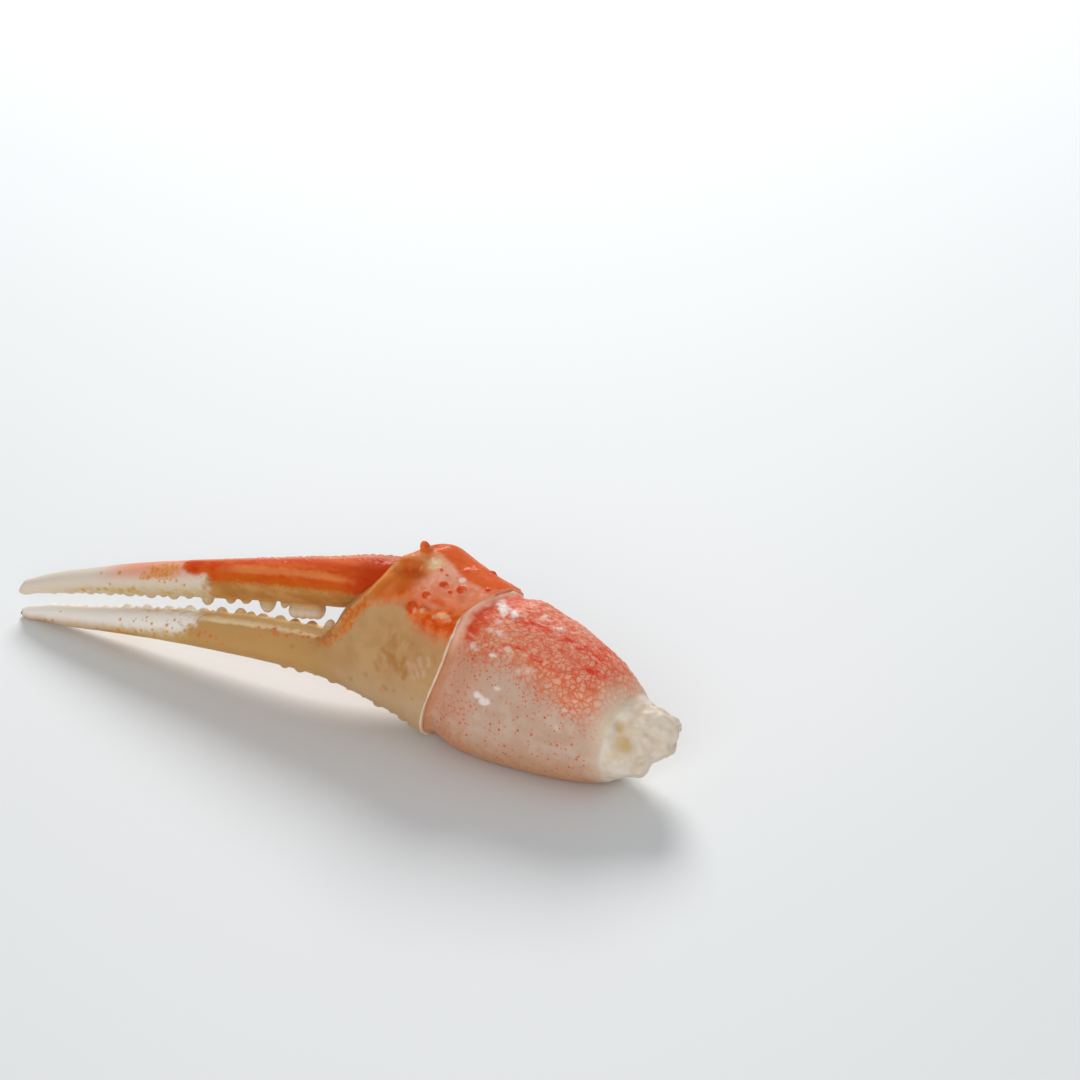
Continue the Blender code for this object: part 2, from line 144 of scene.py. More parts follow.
# Local swellings and dents of the palm as (u, v, w, radius, height)
SWELLS = (
    (72.4, 27.7, 4.4, 1.8, 0.9), (74.4, 27, 4.8, 1, -0.35), (75.3, 28.4, 2.8, 1.1, -0.6),
    (70.7, 28.9, -0.2, 1.3, -1.1), (70.5, 28.7, -1.6, 1.3, -0.9), (72.6, 29.3, -1.6, 1.1, -0.6),
    (71.6, 29, 1.4, 0.8, -0.9), (79, 23.3, 8, 1.1, -0.3), (78.9, 19.6, 9.4, 1.4, -0.25),
)

# Outlines of coloured areas and lines, drawn on the claw's plane as (u, v)
LIP = (
    (70.5, 27.4), (68.9, 25.9), (68.4, 24.4), (67.6, 22.7), (66.2, 21), (64.8, 19.6), (63.6, 18),
    (62.6, 16.2), (61, 14.2),
)
ORANGE = (
    (64.6, 20.3), (66.2, 21.4), (67.6, 21.6), (69.2, 21.5), (71, 21.9), (72.5, 22.3), (73.9, 22.6),
    (74.6, 21.4), (75.6, 20.3), (77.4, 19.4), (80, 18.7), (82.4, 18.7), (84, 19.6), (92, 24), (92, 34),
    (64, 34), (64, 24),
)
KNUCKLE_BAND = ((73.4, 27), (71.9, 26), (70.4, 24.8), (68.8, 22.8), (66.8, 20.8))
CROTCH = (
    (46, 10.2), (51.7, 11), (55, 11.4), (58.1, 12), (60.5, 13.2), (62.5, 14.7), (63.8, 16.4), (65.2, 18.9),
    (67.2, 21.3),
)
BROWN = (
    (71, 14.6), (72.6, 17.4), (75.6, 17.6), (78.4, 16), (78.4, 13), (76.2, 11), (73.6, 11.2), (71.2, 12.2),
)
# Feathery strokes on the palm as (line, half width, strength)
STROKES = (
    (((73.5, 17), (74, 15.5)), 0.32, 0.55),
    (((71.8, 14.4), (72.9, 13.8), (73.9, 13.4), (74.5, 12.1)), 0.36, 0.85),
    (((74.2, 12.9), (74.6, 12)), 0.5, 0.95),
    (((75.7, 14.1), (75.4, 12.6), (76.1, 11.9), (75.9, 11)), 0.32, 0.85),
    (((75.2, 12.2), (76.3, 11.7)), 0.34, 0.9), (((72.9, 13.8), (73.1, 12.8)), 0.3, 0.7),
    (((71.3, 13.5), (71.6, 12.5)), 0.28, 0.55), (((70.6, 12), (71.2, 11)), 0.3, 0.5),
    (((72.4, 18.2), (72.5, 17.2)), 0.3, 0.3), (((72.9, 15.9), (72, 14.9)), 0.4, 0.3),
    (((76.6, 16.6), (76.9, 15.8)), 0.3, 0.35), (((75.2, 15.4), (75.4, 14.6)), 0.35, 0.35),
    (((77.6, 15.2), (77.5, 14.2)), 0.3, 0.3), (((78.5, 15.3), (78.5, 14.4)), 0.3, 0.35),
    (((80.9, 15.6), (81.5, 14.7)), 0.36, 0.4), (((81.4, 12.8), (81.6, 12)), 0.3, 0.3),
)
ROSY_MARKS = (
    ((76.6, 13.4), (77.2, 12.2), (77.9, 11.4)), ((77.8, 13.2), (78.6, 11.9)), ((78.5, 14.5), (78.9, 13.6)),
    ((80, 15), (80.3, 14.1)), ((79.4, 12.9), (79.6, 12.3)),
)
WET = ((73, 29.4), (75.2, 28.6), (77.2, 27.4))
RED = (
    (29.9, 17.6), (30.7, 16.4), (32.4, 15.9), (33.9, 16), (35, 16.6), (36, 16.5), (37.2, 16), (40.3, 16.6),
    (44.1, 17.3), (49.7, 18.3), (53.3, 19), (57, 19.5), (60.7, 20), (63.5, 20.3), (66, 20.6), (80, 21),
    (80, 40), (30, 40), (29.9, 18.6),
)
FINGER_RIDGE = ((36, 17.6), (41.2, 18.8), (50.7, 20.8), (58.2, 22), (63, 22.6), (68, 23.4))
MEAT_RED = (
    (78, 19.5), (83.6, 19.2), (86.7, 18.6), (91, 18), (94, 17.4), (98.5, 15.8), (101.2, 14.4), (104.2, 13),
    (106.6, 12.8), (108.6, 14), (110.4, 15.2), (112.4, 16.6), (114, 18.5), (116, 24), (100, 34), (78, 34),
)
STREAKS = (
    ((84.6, 20.8), (86.8, 20.2), (88.8, 19.5), (90.4, 19.1), (91.8, 18.7)),
    ((91.8, 20), (94, 20.1), (96.2, 19.4), (98.2, 18.9)), ((99.4, 18.6), (101.4, 18.1)),
    ((86.4, 23.6), (90.5, 23.4), (94.2, 23.5), (97, 23.2), (99.6, 22.6), (102.4, 21.8), (105.5, 20.5)),
    ((104.6, 19.2), (107.6, 18.4)),
)
# White curd on the meat as (u, v, half length, half width, strength)
CURDS = (
    (88.6, 24.1, 1.7, 0.75, 1.1), (90.8, 24.2, 1.2, 0.6, 1), (87, 24.6, 0.8, 0.5, 0.8),
    (90.4, 21.5, 1.6, 0.6, 0.75), (89.2, 22.6, 0.9, 0.4, 0.6), (92.4, 19.7, 0.8, 0.5, 0.6),
    (86.4, 18.5, 0.9, 0.6, 0.6), (90.6, 18.3, 0.9, 0.35, 1), (96.9, 17.5, 1, 0.7, 0.5),
    (95.2, 17, 0.9, 0.7, 0.45), (89.3, 11.9, 0.75, 0.55, 1.4), (90.7, 11.3, 1.1, 0.75, 1.4),
    (90, 11.75, 0.7, 0.4, 1.2), (92.4, 13.7, 0.7, 0.4, 0.8), (103.8, 13.1, 0.6, 0.35, 0.6),
    (103.2, 10.2, 0.6, 0.5, 0.4), (98.1, 23.4, 1, 0.3, 0.6), (95, 24.3, 0.7, 0.35, 0.6),
    (88, 16.2, 0.5, 0.3, 0.5), (88.4, 21.4, 1.5, 0.4, 0.6), (87.2, 18.2, 1.2, 0.5, 0.5),
)
# Specks on the fingers as (u, share of the height, radius)
SPECKS_FIXED = (
    (5.8, 0.2, 0.4), (7.4, 0.25, 0.4), (8.7, 0.85, 0.22), (16.2, 0.14, 0.32), (20.6, 0.75, 0.36),
    (23.3, 0.72, 0.24), (24.8, 0.8, 0.2), (26.7, 0.68, 0.28), (27, 0.47, 0.3), (24.9, 0.34, 0.3),
    (23.9, 0.24, 0.38), (23.2, 0.13, 0.36), (20.3, 0.2, 0.48), (20.9, 0.08, 0.45), (21.9, 0.07, 0.36),
    (29.4, 0.85, 0.2), (29.5, 0.7, 0.38), (29.7, 0.44, 0.22), (30.8, 0.9, 0.25), (31.6, 0.84, 0.26),
    (30.7, 0.65, 0.22), (32.2, 0.5, 0.22), (33, 0.57, 0.3), (33.8, 0.8, 0.26), (34.1, 0.64, 0.24),
    (35.7, 0.46, 0.36), (35.9, 0.62, 0.24), (36.9, 0.6, 0.25), (38, 0.5, 0.34), (37.5, 0.34, 0.25),
    (39, 0.46, 0.22), (40.4, 0.33, 0.25), (27.3, 0.3, 0.3), (27.1, 0.18, 0.3), (29.7, 0.27, 0.24),
    (25.4, 0.9, 0.3),
)
SPECKS_FINGER = (
    (19.2, 0.76, 0.42), (17.8, 0.4, 0.3), (12.5, 0.17, 0.5), (15.4, 0.2, 0.45), (17, 0.22, 0.5),
    (19.6, 0.19, 0.5), (21.4, 0.18, 0.55), (22.2, 0.24, 0.5), (24, 0.6, 0.28), (23.9, 0.74, 0.28),
    (28.7, 0.12, 0.5), (31.9, 0.4, 0.32), (15.5, 0.8, 0.28), (27.1, 0.5, 0.24), (28.2, 0.46, 0.28),
    (29.2, 0.52, 0.22), (30.3, 0.5, 0.26),
)
# Blotches on the palm as (u, v, radius)
BLOTS_PALM = (
    (68.9, 9.6, 0.5), (66, 7.9, 0.5), (72.5, 8.2, 0.55), (71.6, 7.7, 0.5), (74, 8.3, 0.4), (77.8, 8, 0.4),
    (53.3, 9.5, 0.5), (63, 6.4, 0.3),
)


def station_rows(stations, shares):
    """Stations at shares of the middle line's length, on a smooth cubic through the given ones."""
    rows = np.array(stations)
    middle = (rows[:, 0:2] + rows[:, 2:4]) / 2
    knots = np.concatenate([[0.0], np.cumsum(np.linalg.norm(np.diff(middle, axis=0), axis=1))])
    knots = knots / knots[-1]
    slopes = np.gradient(rows, knots, axis=0)
    shares = np.atleast_1d(shares)
    i = np.clip(np.searchsorted(knots, shares) - 1, 0, len(knots) - 2)
    width = (knots[i + 1] - knots[i])[:, None]
    t = (shares[:, None] - knots[i][:, None]) / width
    return (
        (2 * t**3 - 3 * t**2 + 1) * rows[i]
        + (t**3 - 2 * t**2 + t) * width * slopes[i]
        + (3 * t**2 - 2 * t**3) * rows[i + 1]
        + (t**3 - t**2) * width * slopes[i + 1]
    )


def hump(value, width):
    """A smooth hump that is 1 where the value is 0."""
    return np.exp(-((value / width) ** 2))


def lobe(angles, degrees, width):
    """A smooth hump round a ring, at an angle in degrees."""
    return hump(np.abs((angles - math.radians(degrees) + math.pi) % (2 * math.pi) - math.pi), width)


def ease(value, low, high):
    """A smooth step from 0 at one value to 1 at another."""
    t = np.clip((value - low) / (high - low), 0, 1)
    return t * t * (3 - 2 * t)


def ring_points(rows, angles, inset=0.0):
    """Points (u, v, w) of each station's ring, as an array of rings by angles by 3."""
    low, high = rows[:, None, 0:2], rows[:, None, 2:4]
    half_width, dorsal, ventral, shift, ridge = (rows[:, None, k] for k in range(4, 9))
    angles = angles[None, :]
    across, rise = np.cos(angles), np.sin(angles)
    power = 2 / np.where(rise > 0, dorsal, ventral)
    across = np.sign(across) * np.abs(across) ** power
    rise = np.sign(rise) * np.abs(rise) ** power
    crest = ridge * lobe(angles, RIDGE_DEGREES, 0.3)
    length = np.linalg.norm(high - low, axis=2, keepdims=True)
    upward = (high - low) / length
    half_height = length[..., 0] / 2 - inset
    in_plane = (low + high) / 2 + upward * (rise * half_height + crest * 0.5)[..., None]
    w = across * (half_width - inset) + crest * 0.8 - shift * (1 + rise) / 2
    return np.concatenate([in_plane, w[..., None]], axis=2)


def circle(count):
    """Angles evenly spaced round a ring."""
    return np.arange(count) * 2 * math.pi / count


def rim_lobe(angles):
    """Where the cut edge dips towards the fingers."""
    return lobe(angles, 48, 0.62)


def palm_rings(inset, shares, angles):
    """Rings of the palm's outside, or under it by an inset, up to the cut edge."""
    points = ring_points(station_rows(PALM_STATIONS, shares), angles, inset)
    near = np.maximum(0.0, (shares - RIM_SHARE) / (1 - RIM_SHARE)) ** 2
    points[..., 0] -= RIM_DIP * near[:, None] * rim_lobe(angles)[None, :]
    return points


def shaped_rings(shares, angles):
    """The outside of the palm with the trough along its back and the inner ridge beside it."""
    rings = palm_rings(0.0, shares, angles)
    out = rings - rings.mean(axis=1, keepdims=True)
    out /= np.linalg.norm(out, axis=2, keepdims=True)
    u = rings[..., 0]
    along = ease(u, 73.0, 76.5) * (1 - 0.45 * ease(u, 81.5, 86))
    form = 0.35 * lobe(angles, 90, 0.15) - 0.8 * lobe(angles, 58, 0.27)
    return rings + out * (along * form[None, :])[..., None]


def hollow_rings(inset, sides):
    """The room inside the shell, or less than it by an inset, up to the cut edge."""
    deep = ring_points(station_rows(HOLLOW_STATIONS, np.linspace(0, 1, 14)), circle(sides), inset)
    return np.concatenate([deep, palm_rings(WALL + inset, np.linspace(0.93, 1.0, 10), circle(sides))])


def placed(points):
    """Claw points in millimetres put in their place on the floor, in metres."""
    u, v, w = points.T
    y = v * math.sin(LEAN) - w * math.cos(LEAN)
    z = v * math.cos(LEAN) + w * math.sin(LEAN) + LIFT
    return np.stack([u - ORIGIN_U, y - ORIGIN_Y, np.maximum(z, 0.0)], axis=1) * MM


# ---------------------------------------------------------------- mesh tools


def hashed(cell, seed):
    """A number from -1 to 1 for each lattice cell, the same in every run."""
    key = (cell @ np.array([374761393, 668265263, 1274126177]) + seed * 97531) & 0xFFFFFFFF
    key = ((key ^ (key >> 13)) * 1103515245) & 0xFFFFFFFF
    key = ((key ^ (key >> 16)) * 1597334677) & 0xFFFFFFFF
    return (key ^ (key >> 15)) / 2**31 - 1


def lattice_noise(points, seed):
    """Smooth noise from -1 to 1 on a unit lattice."""
    base = np.floor(points)
    part = points - base
    part = part * part * (3 - 2 * part)
    total = np.zeros(len(points))
    for corner in np.ndindex(2, 2, 2):
        step = np.array(corner)
        total += np.prod(np.where(step, part, 1 - part), axis=1) * hashed(base.astype(np.int64) + step, seed)
    return total


def fractal(points, size, seed, octaves=3, stretch=(1, 1, 1)):
    """Layered noise whose largest lumps are about a size in millimetres across."""
    scaled = points / (np.array(stretch) * size)
    return sum(lattice_noise(scaled * 2**k + 17.3 * k, seed + k) / 2**k for k in range(octaves))


def grains(points, size, seed, share=1.0, stretch=(1, 1, 1)):
    """Nearest and second nearest distance to scattered points, in cells of a size, some points left out."""
    scaled = points / (np.array(stretch) * size)
    base = np.floor(scaled).astype(np.int64)
    first = np.full(len(points), 2.0)
    second = np.full(len(points), 2.0)
    for corner in np.ndindex(3, 3, 3):
        cell = base + np.array(corner) - 1
        seat = cell + 0.5 + 0.42 * np.stack([hashed(cell, seed + k) for k in range(3)], axis=1)
        away = np.linalg.norm(scaled - seat, axis=1)
        if share < 1:
            away = np.where(hashed(cell, seed + 7) < share * 2 - 1, away, 2.0)
        second = np.minimum(second, np.maximum(first, away))
        first = np.minimum(first, away)
    return first, second


def domes(points, size, seed, share, reach=0.45, stretch=(1, 1, 1)):
    """Round grains from 0 to 1, scattered in a share of the cells of a size."""
    return np.clip(1 - (grains(points, size, seed, share, stretch)[0] / reach) ** 2, 0, 1)


def distances(points, place):
    """Distance of points from a place."""
    return np.linalg.norm(points - np.array(place), axis=1)


def loft_arrays(rings):
    """Vertices and faces of a closed body through rings of points, its ends closed by fans."""
    count, sides = rings.shape[:2]
    points = np.concatenate([rings.reshape(-1, 3), rings[:1].mean(axis=1), rings[-1:].mean(axis=1)])
    faces = []
    for i in range(count - 1):
        for j in range(sides):
            k = (j + 1) % sides
            faces.append((i * sides + j, i * sides + k, (i + 1) * sides + k, (i + 1) * sides + j))
    first, last = count * sides, count * sides + 1
    for j in range(sides):
        k = (j + 1) % sides
        faces.append((k, j, first))
        faces.append(((count - 1) * sides + j, (count - 1) * sides + k, last))
    return points, faces


def ball_arrays(centre, radii, axis=None, detail=3):
    """An ellipsoid at a claw point. Its third radius lies along the axis, if one is given."""
    bm = bmesh.new()
    bmesh.ops.create_icosphere(bm, subdivisions=detail, radius=1)
    points = np.array([vert.co for vert in bm.verts]) * np.array(radii)
    faces = [tuple(vert.index for vert in face.verts) for face in bm.faces]
    bm.free()
    if axis is not None:
        turn = np.array(Vector(axis).to_track_quat("Z", "Y").to_matrix())
        points = points @ turn.T
    return points + np.array(centre), faces


def tube_arrays(path, radius):
    """A round bar along a path, with tapered ends."""
    path = np.array(path)
    ahead = np.gradient(path, axis=0)
    ahead /= np.linalg.norm(ahead, axis=1, keepdims=True)
    side = np.cross(ahead, (0.0, 0.0, 1.0))
    side /= np.linalg.norm(side, axis=1, keepdims=True)
    other = np.cross(ahead, side)
    share = np.linspace(0, 1, len(path))
    size = radius * np.sqrt(np.clip(np.minimum(share, 1 - share) * 12, 0.01, 1))
    turn = circle(12)[None, :, None]
    spread = np.cos(turn) * side[:, None] + np.sin(turn) * other[:, None]
    return loft_arrays(path[:, None] + size[:, None, None] * spread)


def mesh_object(name, bodies):
    """One object from several closed bodies of vertices and faces."""
    points, faces, start = [], [], 0
    for body_points, body_faces in bodies:
        points.append(body_points)
        faces += [tuple(corner + start for corner in face) for face in body_faces]
        start += len(body_points)
    mesh = bpy.data.meshes.new(name)
    mesh.from_pydata(np.concatenate(points).tolist(), [], faces)
    mesh.update()
    made = bpy.data.objects.new(name, mesh)
    bpy.context.scene.collection.objects.link(made)
    outward(made)
    return made


def outward(made):
    """Turns all faces outwards."""
    bm = bmesh.new()
    bm.from_mesh(made.data)
    bmesh.ops.recalc_face_normals(bm, faces=bm.faces)
    bm.to_mesh(made.data)
    bm.free()


def baked(made):
    """Applies the object's modifiers to its mesh."""
    graph = bpy.context.evaluated_depsgraph_get()
    mesh = bpy.data.meshes.new_from_object(made.evaluated_get(graph))
    made.modifiers.clear()
    old, made.data = made.data, mesh
    bpy.data.meshes.remove(old)


def fused(made, size):
    """Joins overlapping bodies into one even mesh."""
    remesh = made.modifiers.new("fuse", "REMESH")
    remesh.mode = "VOXEL"
    remesh.voxel_size = size
    baked(made)


def cut(made, cutter):
    """Takes a body out of a mesh."""
    boolean = made.modifiers.new("cut", "BOOLEAN")
    boolean.operation = "DIFFERENCE"
    boolean.solver = "MANIFOLD"
    boolean.object = cutter
    baked(made)
    bpy.data.objects.remove(cutter)


def coordinates(made):
    """The mesh's points as an array."""
    flat = np.empty(len(made.data.vertices) * 3)
    made.data.vertices.foreach_get("co", flat)
    return flat.reshape(-1, 3)


def set_coordinates(made, points):
    made.data.vertices.foreach_set("co", np.ascontiguousarray(points).ravel())
    made.data.update()


def normals(made):
    """The direction out of the mesh at each point."""
    flat = np.empty(len(made.data.vertices) * 3)
    made.data.vertex_normals.foreach_get("vector", flat)
    return flat.reshape(-1, 3)


def relaxed(made, rounds, weight=None):
    """Evens out a mesh, each point towards the mean of its neighbours, by a weight for each point."""
    edges = np.empty(len(made.data.edges) * 2, np.int64)
    made.data.edges.foreach_get("vertices", edges)
    a, b = edges.reshape(-1, 2).T
    points = coordinates(made)
    degree = np.bincount(a, minlength=len(points)) + np.bincount(b, minlength=len(points))
    weight = np.ones(len(points)) if weight is None else weight
    for step in range(rounds):
        mean = np.empty_like(points)
        for k in range(3):
            mean[:, k] = np.bincount(a, points[b, k], len(points)) + np.bincount(b, points[a, k], len(points))
        mean /= degree[:, None]
        pull = 0.55 if step % 2 == 0 else -0.4
        points += pull * weight[:, None] * (mean - points)
    set_coordinates(made, points)


def line_distance(u, v, corners):
    """Distance in millimetres from a line of claw points."""
    best = np.full(len(u), 1e9)
    corners = np.array(corners, float)
    for a, b in zip(corners, corners[1:]):
        along = b - a
        t = np.clip(((u - a[0]) * along[0] + (v - a[1]) * along[1]) / (along @ along), 0, 1)
        best = np.minimum(best, np.hypot(u - a[0] - t * along[0], v - a[1] - t * along[1]))
    return best


def area_distance(u, v, corners):
    """Signed distance from a closed outline of claw points, positive inside."""
    corners = np.array(corners, float)
    inside = np.zeros(len(u), bool)
    for a, b in zip(corners, np.roll(corners, -1, axis=0)):
        crosses = (a[1] > v) != (b[1] > v)
        rise = np.where(crosses, v - a[1], 0.0) / (b[1] - a[1] if b[1] != a[1] else 1.0)
        inside ^= crosses & (u < a[0] + rise * (b[0] - a[0]))
    distance = line_distance(u, v, np.vstack([corners, corners[:1]]))
    return np.where(inside, distance, -distance)


def height_share(stations, u, v):
    """How far up a finger a point is, from 0 at its ventral line to 1 at its dorsal line."""
    rows = station_rows(stations, np.linspace(0, 1, 200))
    low = np.interp(u, rows[:, 0], rows[:, 1])
    high = np.interp(u, rows[:, 2], rows[:, 3])
    return (v - low) / (high - low)


def attributes(made, **fields):
    """Numbers for each point, which the materials read by name."""
    for name, values in fields.items():
        layer = made.data.attributes.new(name, "FLOAT", "POINT")
        layer.data.foreach_set("value", np.ascontiguousarray(values, np.float32))


def put_in_place(made, node, surface):
    """Records the claw's own coordinates, puts the piece on the floor and lets it stand for its CAD node."""
    points = coordinates(made)
    layer = made.data.attributes.new("claw", "FLOAT_VECTOR", "POINT")
    layer.data.foreach_set("vector", np.ascontiguousarray(points, np.float32).ravel())
    set_coordinates(made, placed(points))
    outward(made)
    made.data.shade_smooth()
    made.data.materials.clear()
    made.data.materials.append(surface)
    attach(made, "root")
    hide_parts(node)


# ---------------------------------------------------------------- shader tools


def linear(colour):
    """A screen colour from 0 to 255 as the shader's linear one."""
    shares = [c / 255 for c in colour]
    return tuple(c / 12.92 if c <= 0.04045 else ((c + 0.055) / 1.055) ** 2.4 for c in shares) + (1,)


class Field:
    """A number that varies over a piece, for use in sums and products."""

    def __init__(self, paint, socket):
        self.paint, self.socket = paint, socket

    def __add__(self, other):
        return self.paint.math("ADD", self, other)

    def __sub__(self, other):
        return self.paint.math("SUBTRACT", self, other)

    def __mul__(self, other):
        return self.paint.math("MULTIPLY", self, other)

    def __abs__(self):
        return self.paint.math("ABSOLUTE", self)


class Paint:
    """A material's nodes, written as expressions of fields and numbers."""

    def __init__(self, name, stretch=(1, 1, 1)):
        self.material = bpy.data.materials.new(name)
        self.material.use_nodes = True
        self.tree = self.material.node_tree
        self.claw = self.node("ShaderNodeAttribute", attribute_name="claw").outputs["Vector"]
        self.u, self.v, self.w = self.parts(self.claw)
        self.wobble = self.noise(1.3, 3, stretch, (3, 1, 2)) - 0.5

    def node(self, kind, inputs=(), **settings):
        made = self.tree.nodes.new(kind)
        for key, value in settings.items():
            setattr(made, key, value)
        for key, value in dict(inputs).items():
            self.feed(made.inputs[key], value)
        return made

    def feed(self, socket, value):
        value = getattr(value, "socket", value)
        if isinstance(value, bpy.types.NodeSocket):
            self.tree.links.new(value, socket)
        else:
            socket.default_value = value

    def field(self, output, kind, inputs=(), **settings):
        """An output of a new node as a field."""
        return Field(self, self.node(kind, inputs, **settings).outputs[output])

    def parts(self, vector):
        """A vector's three numbers."""
        return [Field(self, part) for part in self.node("ShaderNodeSeparateXYZ", {"Vector": vector}).outputs]

    def value(self, name):
        """One of the piece's attributes."""
        return self.field("Fac", "ShaderNodeAttribute", attribute_name=name)

    def math(self, operation, a, b=0):
        return self.field(0, "ShaderNodeMath", {0: a, 1: b}, operation=operation)

    def vector(self, operation, a, b):
        """Arithmetic with two vectors."""
        return self.node("ShaderNodeVectorMath", {0: a, 1: b}, operation=operation).outputs[0]

    def most(self, a, b):
        """The larger of two fields."""
        return self.math("MAXIMUM", a, b)

    def step(self, value, low, high, out_low=0, out_high=1):
        """A smooth step, from 0 to 1 or between two other numbers."""
        inputs = {"Value": value, "From Min": low, "From Max": high, "To Min": out_low, "To Max": out_high}
        return self.field("Result", "ShaderNodeMapRange", inputs, interpolation_type="SMOOTHSTEP")

    def soft(self, value, wobble, low, high):
        """A smooth step along a wavering border."""
        return self.step(value + self.wobble * wobble, low, high)

    def between(self, value, rise, full, fade, end):
        """A smooth window, open between the two middle values."""
        return self.step(value, rise, full) * self.step(value, end, fade)

    def mix(self, factor, a, b):
        """A colour between two others by a factor."""
        a, b = (linear(colour) if isinstance(colour, tuple) else colour for colour in (a, b))
        return self.node("ShaderNodeMix", {0: factor, 6: a, 7: b}, data_type="RGBA").outputs[2]

    def mixed(self, factor, a, b):
        """A number between two others by a factor."""
        return self.field(0, "ShaderNodeMix", {0: factor, 2: a, 3: b}, data_type="FLOAT")

    def tint(self, colour, factor, strength, onto):
        """The colour mixed over another one by a factor, up to a strength."""
        return self.mix(factor * strength, onto, colour)

    def distance(self, place, radii=(1, 1, 1)):
        """Distance from a claw point in units of radii."""
        scaled = self.vector("DIVIDE", self.vector("SUBTRACT", self.claw, place), radii)
        return self.field("Value", "ShaderNodeVectorMath", {0: scaled}, operation="LENGTH")

    def where(self, size, stretch=(1, 1, 1), shift=(0, 0, 0)):
        """Claw coordinates in units of a size in millimetres."""
        scale = tuple(1 / (size * s) for s in stretch)
        inputs = {"Vector": self.claw, "Scale": scale, "Location": shift}
        return self.node("ShaderNodeMapping", inputs).outputs[0]

    def noise(self, size, detail=2, stretch=(1, 1, 1), shift=(0, 0, 0), rough=0.5):
        inputs = {"Vector": self.where(size, stretch, shift), "Scale": 1}
        inputs |= {"Detail": detail, "Roughness": rough}
        return self.field("Fac", "ShaderNodeTexNoise", inputs)

    def cells(self, size, feature="F1", stretch=(1, 1, 1), shift=(0, 0, 0), bend=0):
        """Distances within a cell pattern, in units of the cells' size."""
        where = self.where(size, stretch, shift)
        if bend:
            wave = self.node("ShaderNodeTexNoise", {"Vector": where, "Scale": 1.3, "Detail": 2})
            wave = self.vector("SUBTRACT", wave.outputs["Color"], (0.5, 0.5, 0.5))
            where = self.vector("ADD", where, self.vector("MULTIPLY", wave, (bend, bend, bend)))
        return self.field("Distance", "ShaderNodeTexVoronoi", {"Vector": where, "Scale": 1}, feature=feature)

    def net(self, size, stretch, shift=(0, 0, 0), bend=0):
        """Distance from the lines of a net of wavy cells."""
        return self.cells(size, "DISTANCE_TO_EDGE", stretch, shift, bend)

    def spots(self, size, small, large, share, shift=(0, 0, 0)):
        """Round spots of varied size and strength, in a share of the cells of a size."""
        cells = self.node("ShaderNodeTexVoronoi", {"Vector": self.where(size, shift=shift), "Scale": 1})
        chance, width, strength = self.parts(cells.outputs["Color"])
        radius = self.step(width, 0, 1, small, large)
        spot = self.step(cells.outputs["Distance"], radius, radius * 0.4)
        return spot * self.math("LESS_THAN", chance, share) * self.step(strength, 0, 1, 0.4, 1)

    def bump(self, height, distance, strength, under=None):
        """A normal with a relief in millimetres, over another one if there is one."""
        inputs = {"Height": height, "Distance": distance * MM, "Strength": strength}
        if under is not None:
            inputs["Normal"] = under
        return self.node("ShaderNodeBump", inputs).outputs["Normal"]

    def finished(self, colour, normal, gloss):
        """The material with the shader's colour, normal and uniform numbers."""
        inputs = self.tree.nodes["Principled BSDF"].inputs
        self.feed(inputs["Base Color"], colour)
        self.feed(inputs["Normal"], normal)
        for name, number in gloss.items():
            inputs[name].default_value = number
        return self.material


# ---------------------------------------------------------------- pieces


def edge_point(stations, u, dorsal):
    """The point (u, v) on a finger's dorsal or ventral line."""
    rows = station_rows(stations, np.linspace(0, 1, 400))
    column = rows[:, 2] if dorsal else rows[:, 0]
    return np.array([u, np.interp(u, column, rows[:, 3 if dorsal else 1])])


def teeth_bodies(stations, teeth, dorsal, inward):
    """Domed teeth along a biting edge."""
    side = 1 if dorsal else -1
    bodies = []
    for number, (u, radius, proud) in enumerate(teeth):
        edge = edge_point(stations, u, dorsal)
        sunk = 0.25 if proud < 1.1 else proud * 0.3
        lean = 0.15 * math.sin(number * 2.1)
        centre = (edge[0], edge[1] - side * sunk, inward)
        bodies.append(ball_arrays(centre, (radius, radius, proud + sunk), (lean, side, 0.05), detail=4))
    return bodies


def ring_angle(stations, points):
    """The angle of points round the stations, as ring_points counts it, and their share along it."""
    rows = station_rows(stations, np.linspace(0, 1, 300))
    middle = (rows[:, 0:2] + rows[:, 2:4]) / 2
    upward = rows[:, 2:4] - rows[:, 0:2]
    half = np.linalg.norm(upward, axis=1) / 2
    upward /= 2 * half[:, None]
    along = np.stack([upward[:, 1], -upward[:, 0]], axis=1)
    best = np.full(len(points), 1e9)
    pick = np.zeros(len(points), int)
    for k in range(len(rows)):
        u, v = (points[:, :2] - middle[k]).T
        off = np.abs(u * along[k, 0] + v * along[k, 1])
        nearer = off < best
        best[nearer], pick[nearer] = off[nearer], k
    row = rows[pick]
    rise = np.sum((points[:, :2] - middle[pick]) * upward[pick], axis=1) / half[pick]
    across = (points[:, 2] + row[:, 7] * (1 + rise) / 2) / row[:, 4]
    power = np.where(rise > 0, row[:, 5], row[:, 6]) / 2
    rise, across = (np.sign(t) * np.abs(t) ** power for t in (rise, across))
    return np.arctan2(rise, across), pick / 299


def depth_under(stations, points):
    """Roughly how far points lie under the outside of a loft, in millimetres."""
    _, share = ring_angle(stations, points)
    rows = station_rows(stations, share)
    middle = (rows[:, 0:2] + rows[:, 2:4]) / 2
    upward = rows[:, 2:4] - rows[:, 0:2]
    half = np.linalg.norm(upward, axis=1) / 2
    rise = np.sum((points[:, :2] - middle) * upward, axis=1) / (2 * half * half)
    across = (points[:, 2] + rows[:, 7] * (1 + rise) / 2) / rows[:, 4]
    return (1 - (np.abs(rise) ** 2.2 + np.abs(across) ** 2.2) ** (1 / 2.2)) * rows[:, 4]


